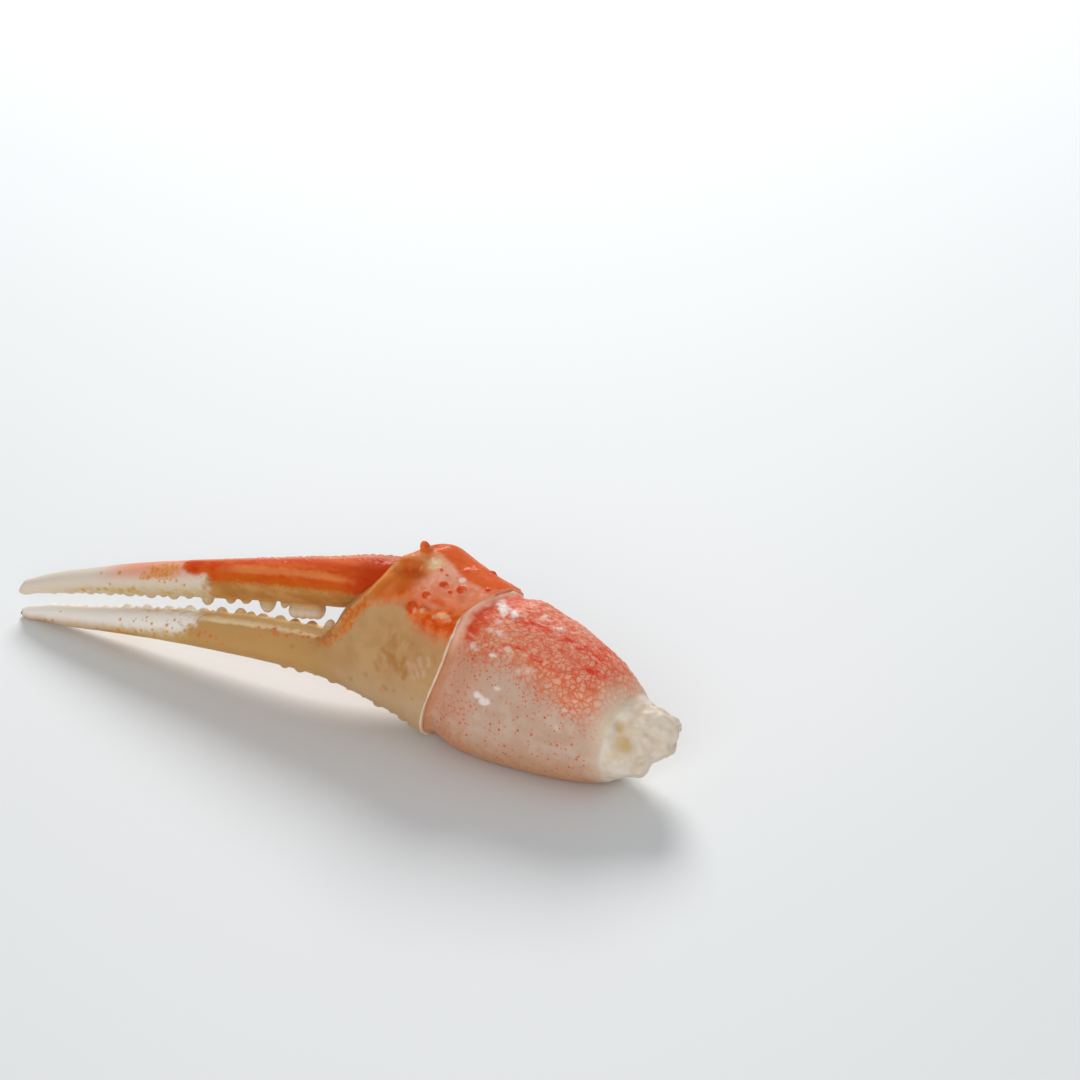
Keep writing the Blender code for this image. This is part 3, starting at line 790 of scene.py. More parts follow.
def rim_u(points, angle):
    """Where along u the palm's cut edge is, above or below each point."""
    rim = 77.8 + (points[:, 1] - 0.8) * 9.4 / 25.3
    return rim - RIM_DIP * rim_lobe(angle)


def finger_lift(u):
    """How far the fixed finger's biting edge stands above the line of its stations."""
    return (0.3 + 0.5 * ease(u, 12, 30)) * ease(u, 1.5, 7) * ease(u, 60.2, 58.4)


def near_knobs(points, tips):
    """Distance to the nearest of some knobs, negative within it."""
    return np.min([distances(points, tip[:3]) - tip[6] for tip in tips], axis=0)


def make_palm():
    """The palm's shell with the fixed finger, hollow, with its knobs, teeth and saw-toothed lower edge."""
    bodies = [loft_arrays(shaped_rings(np.linspace(0, 1, 260), circle(120)))]
    bodies += teeth_bodies(PALM_STATIONS, FIXED_TEETH, True, -0.5)
    bodies += [ball_arrays(*knuckle, detail=4) for knuckle in KNUCKLES]
    lip = palm_rings(0.25, np.linspace(0.585, 0.775, 40), np.radians([57.0]))[:, 0]
    bodies.append(tube_arrays(lip, LIP_RADIUS))
    grid = shaped_rings(np.linspace(0.7, 1.0, 160), circle(240)).reshape(-1, 3)
    tips = []
    for u, v, side, radius, proud, lean, pale in KNOBS:
        sided = grid[grid[:, 2] * side > 0]
        spot = sided[np.argmin(np.hypot(sided[:, 0] - u, sided[:, 1] - v))]
        out = Vector((-lean, (spot[1] - 15) * 0.06, spot[2] * 0.12)).normalized()
        deep = radius * 0.9 + proud * 0.5
        centre = spot + np.array(out) * (proud - deep)
        bodies.append(ball_arrays(centre, (radius, radius, deep), out))
        tips.append((*spot, *(spot + np.array(out) * proud + (0, 0.3, 0)), radius, pale))
    for number in range(SAW_TEETH):
        share = 0.60 + 0.036 * number
        size = 0.75 + 0.2 * math.sin(number * 2.4)
        spot = palm_rings(0.0, np.array([share]), np.radians([-80.0]))[0, 0]
        bodies.append(ball_arrays(spot + np.array((0, 0.2 * size, 0)), (size, 0.75 * size, size)))
    palm = mesh_object("palm_shell_looks", bodies)
    fused(palm, PALM_VOXEL)
    points = coordinates(palm)
    share = height_share(PALM_STATIONS, points[:, 0], points[:, 1])
    lower = 0.25 * ease(share, 0.6, 0.1) * ease(points[:, 0], 4, 10) * ease(points[:, 0], 60, 50)
    points[:, 1] += finger_lift(points[:, 0]) * ease(share, 0.35, 0.95) - lower
    set_coordinates(palm, points)
    u, v, w = points.T
    relaxed(palm, 4)
    band = line_distance(u, v, KNUCKLE_BAND)
    bulb = ease(distances(points, (71.6, 26.8, 4.0)), 2.4, 3.4)
    relaxed(palm, 36, np.where(w > 1, ease(band, 4.2, 2.6), 0.0) * bulb)
    relaxed(palm, 3, ease(near_knobs(points, tips), 1.2, 0.3))

    points = coordinates(palm)
    u, v, w = points.T
    orange = area_distance(u, v, ORANGE)
    face = ease(orange, -0.6, 1.2) * ease(v, 12, 15)
    lip = line_distance(u, v, LIP)
    back = ease(u, 72.5, 75)
    wet = hump(line_distance(u, v, WET), 1) * (w > -1.5)
    warts = domes(points, 0.8, 11, 0.75)
    fine = domes(points, 0.62, 23, 0.5)
    relief = face * back * (0.09 * fractal(points, 2.4, 5, 2) + 0.03 * fractal(points, 0.8, 7, 2))
    relief += face * (0.2 * warts * wet + 0.035 * fine)
    near = near_knobs(points, tips)
    for *place, radius, height in SWELLS:
        swell = height * hump(distances(points, place), radius)
        relief += swell if height > 0 else swell * ease(near, -0.3, 0.2)
    relief += 0.1 * hump(lip, 0.35) * (w > 2)
    relief -= 0.14 * ease(orange, 0.1, 0.8) * hump(lip - 1.15, 0.55) * (w > 2)
    slab = ease(u, 58, 62) * (1 - face)
    relief += slab * 0.05 * fractal(points, 3.2, 31, 3)
    relief -= 0.08 * hump(np.maximum(specks(points, BLOTS_PALM) + 0.4, 0), 0.3)
    finger = ease(u, 60, 56)
    relief += finger * 0.02 * fractal(points, 1.8, 51, 2)
    groove = line_distance(u, v, ((30, 6.6), (36, 7.1), (45, 8.1), (56, 9.3)))
    relief -= 0.14 * finger * hump(groove, 0.9) * (w > 0.5) * ease(u, 30, 36)
    swollen = line_distance(u, v, ((36, 8.7), (45, 10.0), (56, 11.6)))
    relief += 0.12 * finger * hump(swollen, 0.8) * (w > 0.5) * ease(u, 32, 38)
    relief -= 0.3 * hump(distances(points, TIP_PORE), 0.3)
    points = points + normals(palm) * relief[:, None]
    angle, _ = ring_angle(PALM_STATIONS, points)
    u, v, w = points.T
    rim = u - rim_u(points, angle)
    ragged = ease(rim, -1.6, 0)
    wave = ease(v, 15, 20) * 0.3 * fractal(points * (0, 1, 1), 1.5, 61, 2)
    points[:, 0] += ragged * (wave + 0.10 * fractal(points * (0, 1, 1), 2.6, 65, 2))
    set_coordinates(palm, points)

    socket = ring_points(station_rows(FINGER_STATIONS, np.linspace(0.8, 1.0, 16)), circle(48), -GAP)
    socket = np.concatenate([socket, socket[-1:] + np.array((GAP, 0, 0))])
    cut(palm, mesh_object("socket", [loft_arrays(socket)]))
    hollow = hollow_rings(0.0, 96)
    ahead = hollow[-1].mean(axis=0) - hollow[-2].mean(axis=0)
    hollow = np.concatenate([hollow, hollow[-1:] + 3 * ahead / np.linalg.norm(ahead)])
    cut(palm, mesh_object("hollow", [loft_arrays(hollow)]))

    points = coordinates(palm)
    u, v, w = points.T
    angle, _ = ring_angle(PALM_STATIONS, points)
    edge = np.interp(u, *edge_curve(PALM_STATIONS, True)) + finger_lift(u)
    ragged = 0.5 * fractal(points, 0.8, 191, 3, (0.6, 1.4, 1))
    strokes = [
        strength * ease(line_distance(u, v, line) + 0.4 * ragged, wide * 2.2, 0)
        for line, wide, strength in STROKES
    ]
    marks = np.min([line_distance(u, v, line) for line in ROSY_MARKS], axis=0) + 0.5 * ragged
    attributes(
        palm,
        orange=area_distance(u, v, ORANGE),
        lip=np.where(w > 0, line_distance(u, v, LIP), FAR),
        band=line_distance(u, v, KNUCKLE_BAND) + (w <= 0) * 0.5,
        brown=area_distance(u, v, BROWN) - (w < 0) * 2,
        stroke=np.max(strokes, axis=0) * (w > 0),
        rosy=ease(marks, 0.6, 0) * (w > 0),
        height=height_share(PALM_STATIONS, u, v),
        face=ease(normals(palm) @ RIM_FACING, 0.45, 0.8) * (u > 74),
        rim=u - rim_u(points, angle),
        depth=depth_under(PALM_STATIONS, points),
        tooth=np.where(u < 59, v - edge, -FAR),
        knob=near_knobs(points, [tip for tip in tips if 0 <= tip[7] < 0.4]),
        pale=np.min([distances(points, tip[3:6]) - tip[7] * 0.8 for tip in tips if tip[7] > 0], axis=0),
        crotch=np.where(w > 0, line_distance(u, v, CROTCH), FAR),
        speck=specks(points, at_share(PALM_STATIONS, SPECKS_FIXED)),
        blot=specks(points, BLOTS_PALM),
    )
    return palm


def edge_curve(stations, dorsal):
    """A finger's dorsal or ventral line as rising u and the v that goes with it."""
    rows = station_rows(stations, np.linspace(0, 0.75 if dorsal else 0.9, 300))
    order = np.argsort(rows[:, 2 if dorsal else 0])
    return rows[order, 2 if dorsal else 0], rows[order, 3 if dorsal else 1]


def at_share(stations, places):
    """Places on a finger given by u and a share of its height, as (u, v, radius)."""
    made = []
    for u, share, radius in places:
        low, high = edge_point(stations, u, False)[1], edge_point(stations, u, True)[1]
        made.append((u, low + share * (high - low), radius))
    return made


def specks(points, places):
    """Distance to the nearest of some round specks on the outer face, negative within it."""
    outer = points[points[:, 2] > 0.1]
    best = np.full(len(points), 9.0)
    for u, v, radius in places:
        spot = outer[np.argmin(np.hypot(outer[:, 0] - u, outer[:, 1] - v) - 0.15 * outer[:, 2])]
        best = np.minimum(best, distances(points, spot) - radius)
    return best


def make_finger():
    """The moving finger with its teeth and molar."""
    bodies = [loft_arrays(ring_points(station_rows(FINGER_STATIONS, np.linspace(0, 1, 240)), circle(96)))]
    bodies += teeth_bodies(FINGER_STATIONS, MOVING_TEETH, False, -0.2)
    for u, radius, down, proud in MOLAR:
        edge = edge_point(FINGER_STATIONS, u, False)
        centre = (u, edge[1] - proud + down, -0.2)
        bodies.append(ball_arrays(centre, (radius, 1.5, down), (0, -1, 0), detail=4))
    finger = mesh_object("moving_finger_looks", bodies)
    fused(finger, FINGER_VOXEL)
    relaxed(finger, 5)

    points = coordinates(finger)
    u, v, w = points.T
    height = height_share(FINGER_STATIONS, u, v)
    red = ease(area_distance(u, v, RED), -0.4, 0.8)
    ridge = np.array(FINGER_RIDGE)
    off = v - np.interp(u, ridge[:, 0], ridge[:, 1])
    part = ease(u, 34, 44) * ease(w, 0, 1.2)
    relief = part * (0.17 * hump(off, 0.5) - 0.13 * hump(off + 1.3, 0.6))
    relief -= part * 0.09 * hump(off - 1.4, 0.6)
    fine = domes(points, 0.6, 71, 0.55)
    warts = domes(points, 0.8, 81, 0.8, reach=0.42, stretch=(1.2, 1, 1))
    top = ease(height, 0.9, 0.97) * ease(u, 38, 46)
    relief += 0.16 * top * warts + red * 0.045 * fine * (1 - top)
    lower = ease(-np.abs(area_distance(u, v, RED)), -1, -0.2) * (w > 0)
    relief += 0.04 * lower * fine
    relief += 0.02 * fractal(points, 2.2, 91, 2)
    base = ease(u, 63, 68)
    relief -= base * 0.02 * (0.5 + 0.5 * np.sin(4.2 * (v - 0.7 * u) + 1.5 * fractal(points, 2.0, 95, 1)))
    set_coordinates(finger, points + normals(finger) * relief[:, None])

    points = coordinates(finger)
    u, v, w = points.T
    low = np.interp(u, *edge_curve(FINGER_STATIONS, False))
    attributes(
        finger,
        red=area_distance(u, v, RED),
        height=height_share(FINGER_STATIONS, u, v),
        ridge=np.where(w > 0, v - np.interp(u, ridge[:, 0], ridge[:, 1]), FAR),
        tooth=low - v,
        speck=specks(points, at_share(FINGER_STATIONS, SPECKS_FINGER)),
    )
    return finger


def make_meat():
    """The meat, from inside the shell to its flaked end."""
    shares = 1 - (1 - np.linspace(0, 1, 170)) ** 1.2
    rings = ring_points(station_rows(MEAT_STATIONS, shares), circle(160))
    inner = hollow_rings(GAP, 160)
    meat = mesh_object("meat_looks", [loft_arrays(np.concatenate([inner, rings]))])
    fused(meat, MEAT_VOXEL)
    relaxed(meat, 4)

    points = coordinates(meat)
    u, v, w = points.T
    angle, share = ring_angle(MEAT_STATIONS, points)
    broken = ease(share, 0.68, 0.93)
    crumbs = ease(u - 0.3 * np.maximum(v - 12, 0) + 0.1 * np.maximum(12 - v, 0), 109.6, 111.8)
    lumps = cad_noise(points, 0.28) + 0.6 * cad_noise(points, 0.62)
    pit = hump(distances(points, PIT), PIT_RADIUS)
    pit += 0.7 * hump(np.linalg.norm((points - np.array(SMALL_PIT)) / (1, 1.7, 1), axis=1), SMALL_PIT_RADIUS)
    relief = FLAKE_RELIEF * broken * lumps - PIT_DEPTH * pit
    first, second = grains(points, 2.6, 101, 1.0, (1.3, 1, 1))
    small_first, small_second = grains(points, 1.1, 111, 1.0, (1.4, 1, 1))
    crack = hump(second - first, 0.22) * ease(fractal(points, 2.5, 105, 1), -0.2, 0.4)
    relief -= crumbs * (0.16 * crack + 0.04 * hump(small_second - small_first, 0.25))
    relief += crumbs * (0.22 * fractal(points, 1.9, 121, 2) + 0.08 * (0.5 - small_first))
    neck = u - rim_u(points, angle)
    out = ease(neck, -0.5, -0.1)
    body = ease(neck, 0.8, 2) * (1 - crumbs)
    relief += (0.8 * ease(neck, 1.7, 0.5) + 0.1 * fractal(points, 1.5, 125, 2)) * ease(neck, 2.2, 0.8)
    relief += body * 0.11 * fractal(points, 3.4, 131, 2, (1.5, 1, 1))
    area = area_distance(u, v, MEAT_RED)
    skin = body * ease(area, -2, 1.5)
    relief += skin * 0.05 * fractal(points, 0.9, 141, 2, (3.0, 1, 1))
    inner, outer = grains(points, 1.1, 151, 1.0, (1.4, 1, 1))
    relief += 0.07 * skin * ease(outer - inner, 0.05, 0.35)
    curd = curd_share(points)
    relief += 0.16 * curd + 0.16 * ease(curd, 0.2, 0.7) * fractal(points, 0.6, 161, 2)
    set_coordinates(meat, points + normals(meat) * (relief * out)[:, None])
    relaxed(meat, 4, crumbs)

    points = coordinates(meat)
    u, v, w = points.T
    streak = np.min([line_distance(u, v, line) for line in STREAKS], axis=0)
    attributes(
        meat,
        red=area_distance(u, v, MEAT_RED),
        streak=streak + (w < -2) * 1.5,
        neck=neck,
        crumb=crumbs,
        pit=pit,
        curd=curd_share(points),
        crack=crack,
    )
    return meat


def cad_noise(points, scale):
    """The noise that the CAD source uses for the flakes."""
    return np.array([gradient_noise.noise(Vector(point)) for point in (points * scale).tolist()])


def curd_share(points):
    """How much of each point is covered by white curd, from 0 to 1."""
    u, v, w = points.T
    wobble = 0.45 * fractal(points, 0.9, 171, 3)
    best = np.zeros(len(points))
    for curd_u, curd_v, long, wide, strength in CURDS:
        away = np.hypot((u - curd_u) / long, (v - curd_v) / wide)
        best = np.maximum(best, strength * ease(1.05 - away + wobble, 0, 0.8))
    return np.minimum(best, 1.0) * (w > -3.5)


# ---------------------------------------------------------------- materials

# Colours of the shell, as on a screen
CREAM, CREAM_DEEP, CREAM_PAINTED_LIGHT, GOLDEN = (206, 164, 116), (196, 149, 99), (212, 186, 154), (208, 160, 98)
WHITE_WARM, WHITE, STRIP_CREAM = (218, 188, 154), (252, 244, 236), (255, 230, 184)
OCHRE_BAND, STAIN, STAIN_LINE, GOLD_EDGE = (184, 124, 62), (214, 178, 96), (214, 148, 58), (248, 212, 150)
STAIN_SPOT, BROWN_PATCH, BLOT_BROWN, ROSY = (210, 172, 98), (174, 110, 36), (188, 132, 58), (222, 180, 160)
SALMON, ORANGE_DEEP, TROUGH_SHEEN, TROUGH_SHEEN_DEEP = (238, 124, 62), (218, 82, 12), (255, 188, 162), (243, 142, 102)
TROUGH_HIGHLIGHT, INNER_RIDGE, PATCH_CREAM = (254, 212, 190), (232, 92, 4), (255, 234, 196)
BLUSH, KNUCKLE, KNUCKLE_BROWN_SHADE, KNUCKLE_HIGHLIGHT = (214, 146, 104), (212, 112, 44), (182, 68, 8), (250, 184, 128)
LIP_OCHRE, LIP_PALE, TIP_PALE, KNOB_RED = (224, 138, 62), (250, 184, 112), (250, 206, 164), (218, 72, 4)
GRAIN, SPECK_OCHRE, TOOTH, TOOTH_BROWN = (228, 110, 22), (216, 152, 54), (212, 188, 152), (168, 118, 66)
TOOTH_PALE, TOOTH_GOLD, TOOTH_IVORY = (234, 218, 190), (212, 160, 94), (206, 182, 146)
TOOTH_END, RIM_WHITE, RIM_TAN, RIM_PINK = (226, 212, 192), (246, 230, 212), (238, 190, 158), (246, 176, 142)
OCHRE, OCHRE_DEEP, PEARL, PEARL_CREAM = (206, 150, 88), (190, 126, 62), (234, 220, 204), (220, 192, 146)
PINK, PATCH, PATCH_DEEP, RED_DEEP = (248, 158, 128), (236, 160, 92), (220, 128, 44), (214, 64, 12)
RED_BRIGHT, RED_BASE, ROSY_RED, RIDGE_ORANGE = (226, 98, 26), (194, 56, 10), (238, 120, 70), (240, 148, 84)
BORDER_ORANGE, CREST, PORE_DARK = (208, 102, 22), (252, 190, 160), (70, 60, 52)
# Colours of the meat, as on a screen
FLESH, FLESH_DEEP, FLESH_ROSY = (212, 180, 160), (206, 169, 145), (216, 156, 126)
FLESH_PALE, FLESH_CONTACT_SHADE, NET_FILL = (228, 208, 196), (200, 142, 98), (247, 182, 145)
NET_FILL_DEEP, NET_LINE, NET_LINE_DEEP = (248, 172, 140), (232, 106, 60), (236, 84, 44)
NET_PALE, STREAK, RIM_RED, NECK_PINK = (250, 206, 188), (230, 48, 20), (226, 70, 28), (250, 204, 178)
DOT, NECK_SHADE, CRUMB, CRUMB_DEEP = (222, 86, 46), (204, 140, 102), (236, 224, 212), (230, 212, 188)
CRUMB_SHADE, PIT_OCHRE, CURD = (222, 206, 182), (206, 168, 98), (250, 238, 232)

SHELL_GLOSS = {
    "Roughness": 0.48, "IOR": 1.25, "Specular IOR Level": 0.1, "Coat Weight": 0.11, "Coat Roughness": 0.12,
    "Subsurface Weight": 0.16, "Subsurface Scale": 0.7 * MM, "Subsurface Radius": (1, 0.55, 0.3),
}
MEAT_GLOSS = {
    "Roughness": 0.5, "IOR": 1.3, "Specular IOR Level": 0.2, "Coat Weight": 0.09, "Coat Roughness": 0.22,
    "Subsurface Weight": 0.2, "Subsurface Scale": 1.4 * MM, "Subsurface Radius": (1, 0.78, 0.66),
}


def shell(paint, colour, size, depth, strength):
    """The finished shell, with fine grain and small bumps of a size."""
    grain = paint.bump(paint.noise(0.35, 3), 0.05, 0.5)
    bumps = paint.bump(paint.cells(size, feature="SMOOTH_F1"), depth, strength, grain)
    return paint.finished(colour, bumps, SHELL_GLOSS)


def palm_surface():
    """Cream palm with an orange back, and the golden and white fixed finger."""
    paint = Paint("palm_paint")
    step, soft, between, most, distance = paint.step, paint.soft, paint.between, paint.most, paint.distance
    mix, tint, value = paint.mix, paint.tint, paint.value
    noise, cells, spots = paint.noise, paint.cells, paint.spots
    u, v, w, wobble = paint.u, paint.v, paint.w, paint.wobble
    tooth, height, rim, face = map(value, ("tooth", "height", "rim", "face"))
    wide = noise(4, 3)
    grit = cells(0.55, shift=(0.3, 0.1, 0.6))
    # cream of the palm, golden along the fixed finger with a bright strip over a deeper band
    colour = mix(step(wide, 0.3, 0.7), CREAM, CREAM_DEEP)
    # painted light: the low palm is made paler and greyer, standing for lighter shading there
    painted_light_low = step(v, 12, 5) * step(u, 61, 67)
    colour = tint(CREAM_PAINTED_LIGHT, painted_light_low, 0.6, colour)
    colour = tint(GOLDEN, step(u, 66, 56), 0.85, colour)
    finger = step(u, 61, 55)
    band = step(abs(tooth + 2.6 + wobble), 1.5, 0.2)
    colour = tint(OCHRE_BAND, band * finger, 0.12, colour)
    strip = tooth + wobble * 0.5 + step(u, 44, 57, 0.57, 0.36)
    strip = step(abs(strip), 0.66, 0.16)
    strip = strip * step(w, -1.4, 0.2) * step(u, 34, 38) * finger
    colour = tint(STRIP_CREAM, strip, 1, colour)
    # feathery brown marks, small blotches and rosy mottling
    brown = soft(value("brown"), 3, -1.5, 1.5)
    fibres = step(noise(1.6, 3, stretch=(0.6, 1.7, 1)), 0.44, 0.66)
    colour = tint(BROWN_PATCH, brown * fibres, 0.32, colour)
    colour = tint(BROWN_PATCH, value("stroke"), 0.65, colour)
    blot = soft(value("blot"), 1.2, 0.25, -0.45)
    colour = tint(BLOT_BROWN, blot, 0.5, colour)
    colour = tint(ROSY, value("rosy"), 0.55, colour)
    blush = soft(value("orange"), 1, -3.6, -0.6) * step(u, 75.5, 79)
    colour = tint(BLUSH, blush, 0.5, colour)
    # white end of the finger
    edge = u + wobble * 9 - height * 5
    white = step(edge, 31.6, 27.6)
    pearl = mix(soft(height, 0.2, 0.7, 0.1), WHITE, WHITE_WARM)
    colour = mix(white, colour, pearl)
    low = soft(height, 1, 0.55, 0.15)
    colour = tint(STAIN, low * between(u, 15, 22, 30, 36), 0.6, colour)
    under = soft(height, 0.15, 0.22, 0.06) * step(u, 15.5, 17.5)
    colour = tint(STAIN_LINE, under * step(u, 28, 21, 0.2, 1), 0.85, colour)
    stain = step(tooth, -0.7, 0) * step(noise(1.1, 2, shift=(1, 8, 3)), 0.46, 0.58)
    colour = tint(STAIN, stain * step(u, 18, 26), 0.6, colour)
    # orange of the back: a pinkish trough whose pink is partly painted sheen, a deeper inner ridge, the
    # knuckle with painted highlight and shade, and the lip
    ragged = wobble * 1.8 + (grit - 0.45) * 0.4
    orange = step(value("orange") + ragged, -1.4, 1.2)
    deep = step(noise(1.8, 3, shift=(7, 7, 0)) + (grit - 0.5) * 0.12, 0.36, 0.66)
    shade = mix(deep, SALMON, ORANGE_DEEP)
    back = step(u, 73, 75.5)
    trough = soft(v, 1.5, 22.2, 23.6) * back
    # painted reflection: the trough's pink over its salmon, paler towards the top, stands for a wet sheen
    trough_sheen = step(v + (noise(1, 3, shift=(2, 6, 1)) - 0.5) * 7, 27.6, 24)
    trough_sheen = mix(trough_sheen, TROUGH_SHEEN, TROUGH_SHEEN_DEEP)
    shade = mix(trough * 0.92, shade, trough_sheen)
    dip = distance((79, 23.6, 7.6), (1.5, 0.8, 2)) + wobble
    shade = tint(INNER_RIDGE, step(dip, 1.4, 0.5), 0.75, shade)
    # painted highlight: a pale streak of sheen on the trough
    sheen = distance((78.5, 22.8, 8.2), (1.6, 0.45, 1.6)) + wobble * 1.6
    shade = tint(TROUGH_HIGHLIGHT, step(sheen, 1.5, 0.3), 0.28, shade)
    inner = w + wobble * 0.9 + step(u, 77.5, 80.5, 0, -0.9)
    inner = step(inner, 1.3, 0.3) * step(v, 24.5, 26.5)
    shade = tint(INNER_RIDGE, inner * step(u, 71.5, 74), 0.92, shade)
    knuckle = step(value("band"), 3.4, 0.9)
    shade = tint(KNUCKLE, knuckle, 0.9, shade)
    # deeper brown under the knuckle's bulb: the knuckle's own brown, darkened as painted shade
    under = distance((72.8, 26.5, 5.2), (2, 1.3, 2)) + wobble * 0.8
    shade = tint(KNUCKLE_BROWN_SHADE, step(under, 1.3, 0.2), 0.8, shade)
    # painted highlight on top of the knuckle's bulb
    top = distance((71.9, 28.6, 3), (2.2, 0.8, 2.2)) + wobble * 0.6
    shade = tint(KNUCKLE_HIGHLIGHT, step(top, 1.3, 0.5), 0.7, shade)
    shade = tint(LIP_OCHRE, step(value("lip"), 1.7, 0.3), 0.6, shade)
    spot = distance((75.4, 28.3, 2.8), (0.8, 0.9, 1.2)) + wobble
    shade = tint(LIP_PALE, step(spot, 2.6, 0.9), 0.5, shade)
    shade = tint(PATCH_CREAM, step(spot, 1.6, 0.6), 0.9, shade)
    knob = soft(value("knob"), 0.3, 0.12, -0.2)
    shade = tint(KNOB_RED, knob, 0.95, shade)
    colour = mix(orange, colour, shade)
    pale = soft(value("pale"), 0.7, 0.35, -0.45)
    colour = tint(TIP_PALE, pale, 0.8, colour)
    # painted glint: a small bright white spot on the back, in the curd's white
    glint = distance((80.1, 26.6, 2.4), (0.6, 0.45, 1.3)) + wobble
    colour = tint(CURD, step(glint, 1.2, 0.7), 0.75, colour)
    lip = step(value("lip"), 0.45, 0.1) * step(grit, 0.55, 0.35, 0.6, 1)
    colour = tint(LIP_PALE, lip, 0.7, colour)
    # scattered orange grains along the crotch and below the strip, specks on the white end
    along = value("crotch") + wobble * 1.6
    grains = spots(0.8, 0.4, 0.7, 0.75, (0.7, 0.2, 0.1)) * step(along, 0.95, 0.3)
    thick = step(noise(0.9, 2, shift=(5, 9, 2)), 0.46, 0.56) * step(along, 1.9, 0.7)
    socket = step(u, 57.5, 60.5) * step(v, 22.5, 20.5)
    colour = tint(LIP_OCHRE, step(along, 2.2, 0.3) * socket, 0.45, colour)
    grains = most(grains, thick * socket)
    colour = tint(GRAIN, grains, 0.9, colour)
    speck = soft(value("speck"), 0.4, 0.12, -0.26)
    few = spots(0.95, 0.12, 0.26, 0.5, (0.4, 0.3, 0.8)) * white * step(u, 16, 26)
    tone = mix(step(u, 33.8, 35), SPECK_OCHRE, GRAIN)
    colour = mix(most(speck * 0.9, few * 0.8), colour, tone)
    # teeth, rim and the inside
    dome = mix(step(u, 29, 38), WHITE, TOOTH)
    dark = between(u, 48.5, 50, 54.5, 55.5)
    dome = tint(TOOTH_PALE, step(tooth, 0.35, 0.9), 0.6, dome)
    dome = tint(TOOTH_BROWN, dark, 0.7, dome)
    colour = tint(GOLD_EDGE, step(tooth, -0.4, -0.15) * step(u, 32, 40), 0.9, colour)
    colour = mix(step(tooth, 0.15, 0.45) * 0.9, colour, dome)
    upper = step(v, 20, 22)
    cut = mix(upper, RIM_TAN, RIM_PINK)
    colour = mix(face * 0.95, colour, cut)
    line = soft(rim, 0.4, -0.34, -0.12) * step(value("depth"), 0.42, 0.2)
    colour = tint(RIM_WHITE, line * step(v, 23, 21.5), 0.85, colour)
    # inside of the shell by its cut edge, in the neck's tan: partly painted shade
    inside = step(value("depth"), 0.7, 1) * step(u, 73, 76) * step(face, 0.5, 0.1)
    colour = tint(NECK_SHADE, inside * step(upper, 1, 0.3), 0.9, colour)
    colour = tint(PORE_DARK, step(distance((0.4, 1.2, 0.7)), 0.6, 0.3), 1, colour)
    return shell(paint, colour, 0.4, 0.05, 0.35)


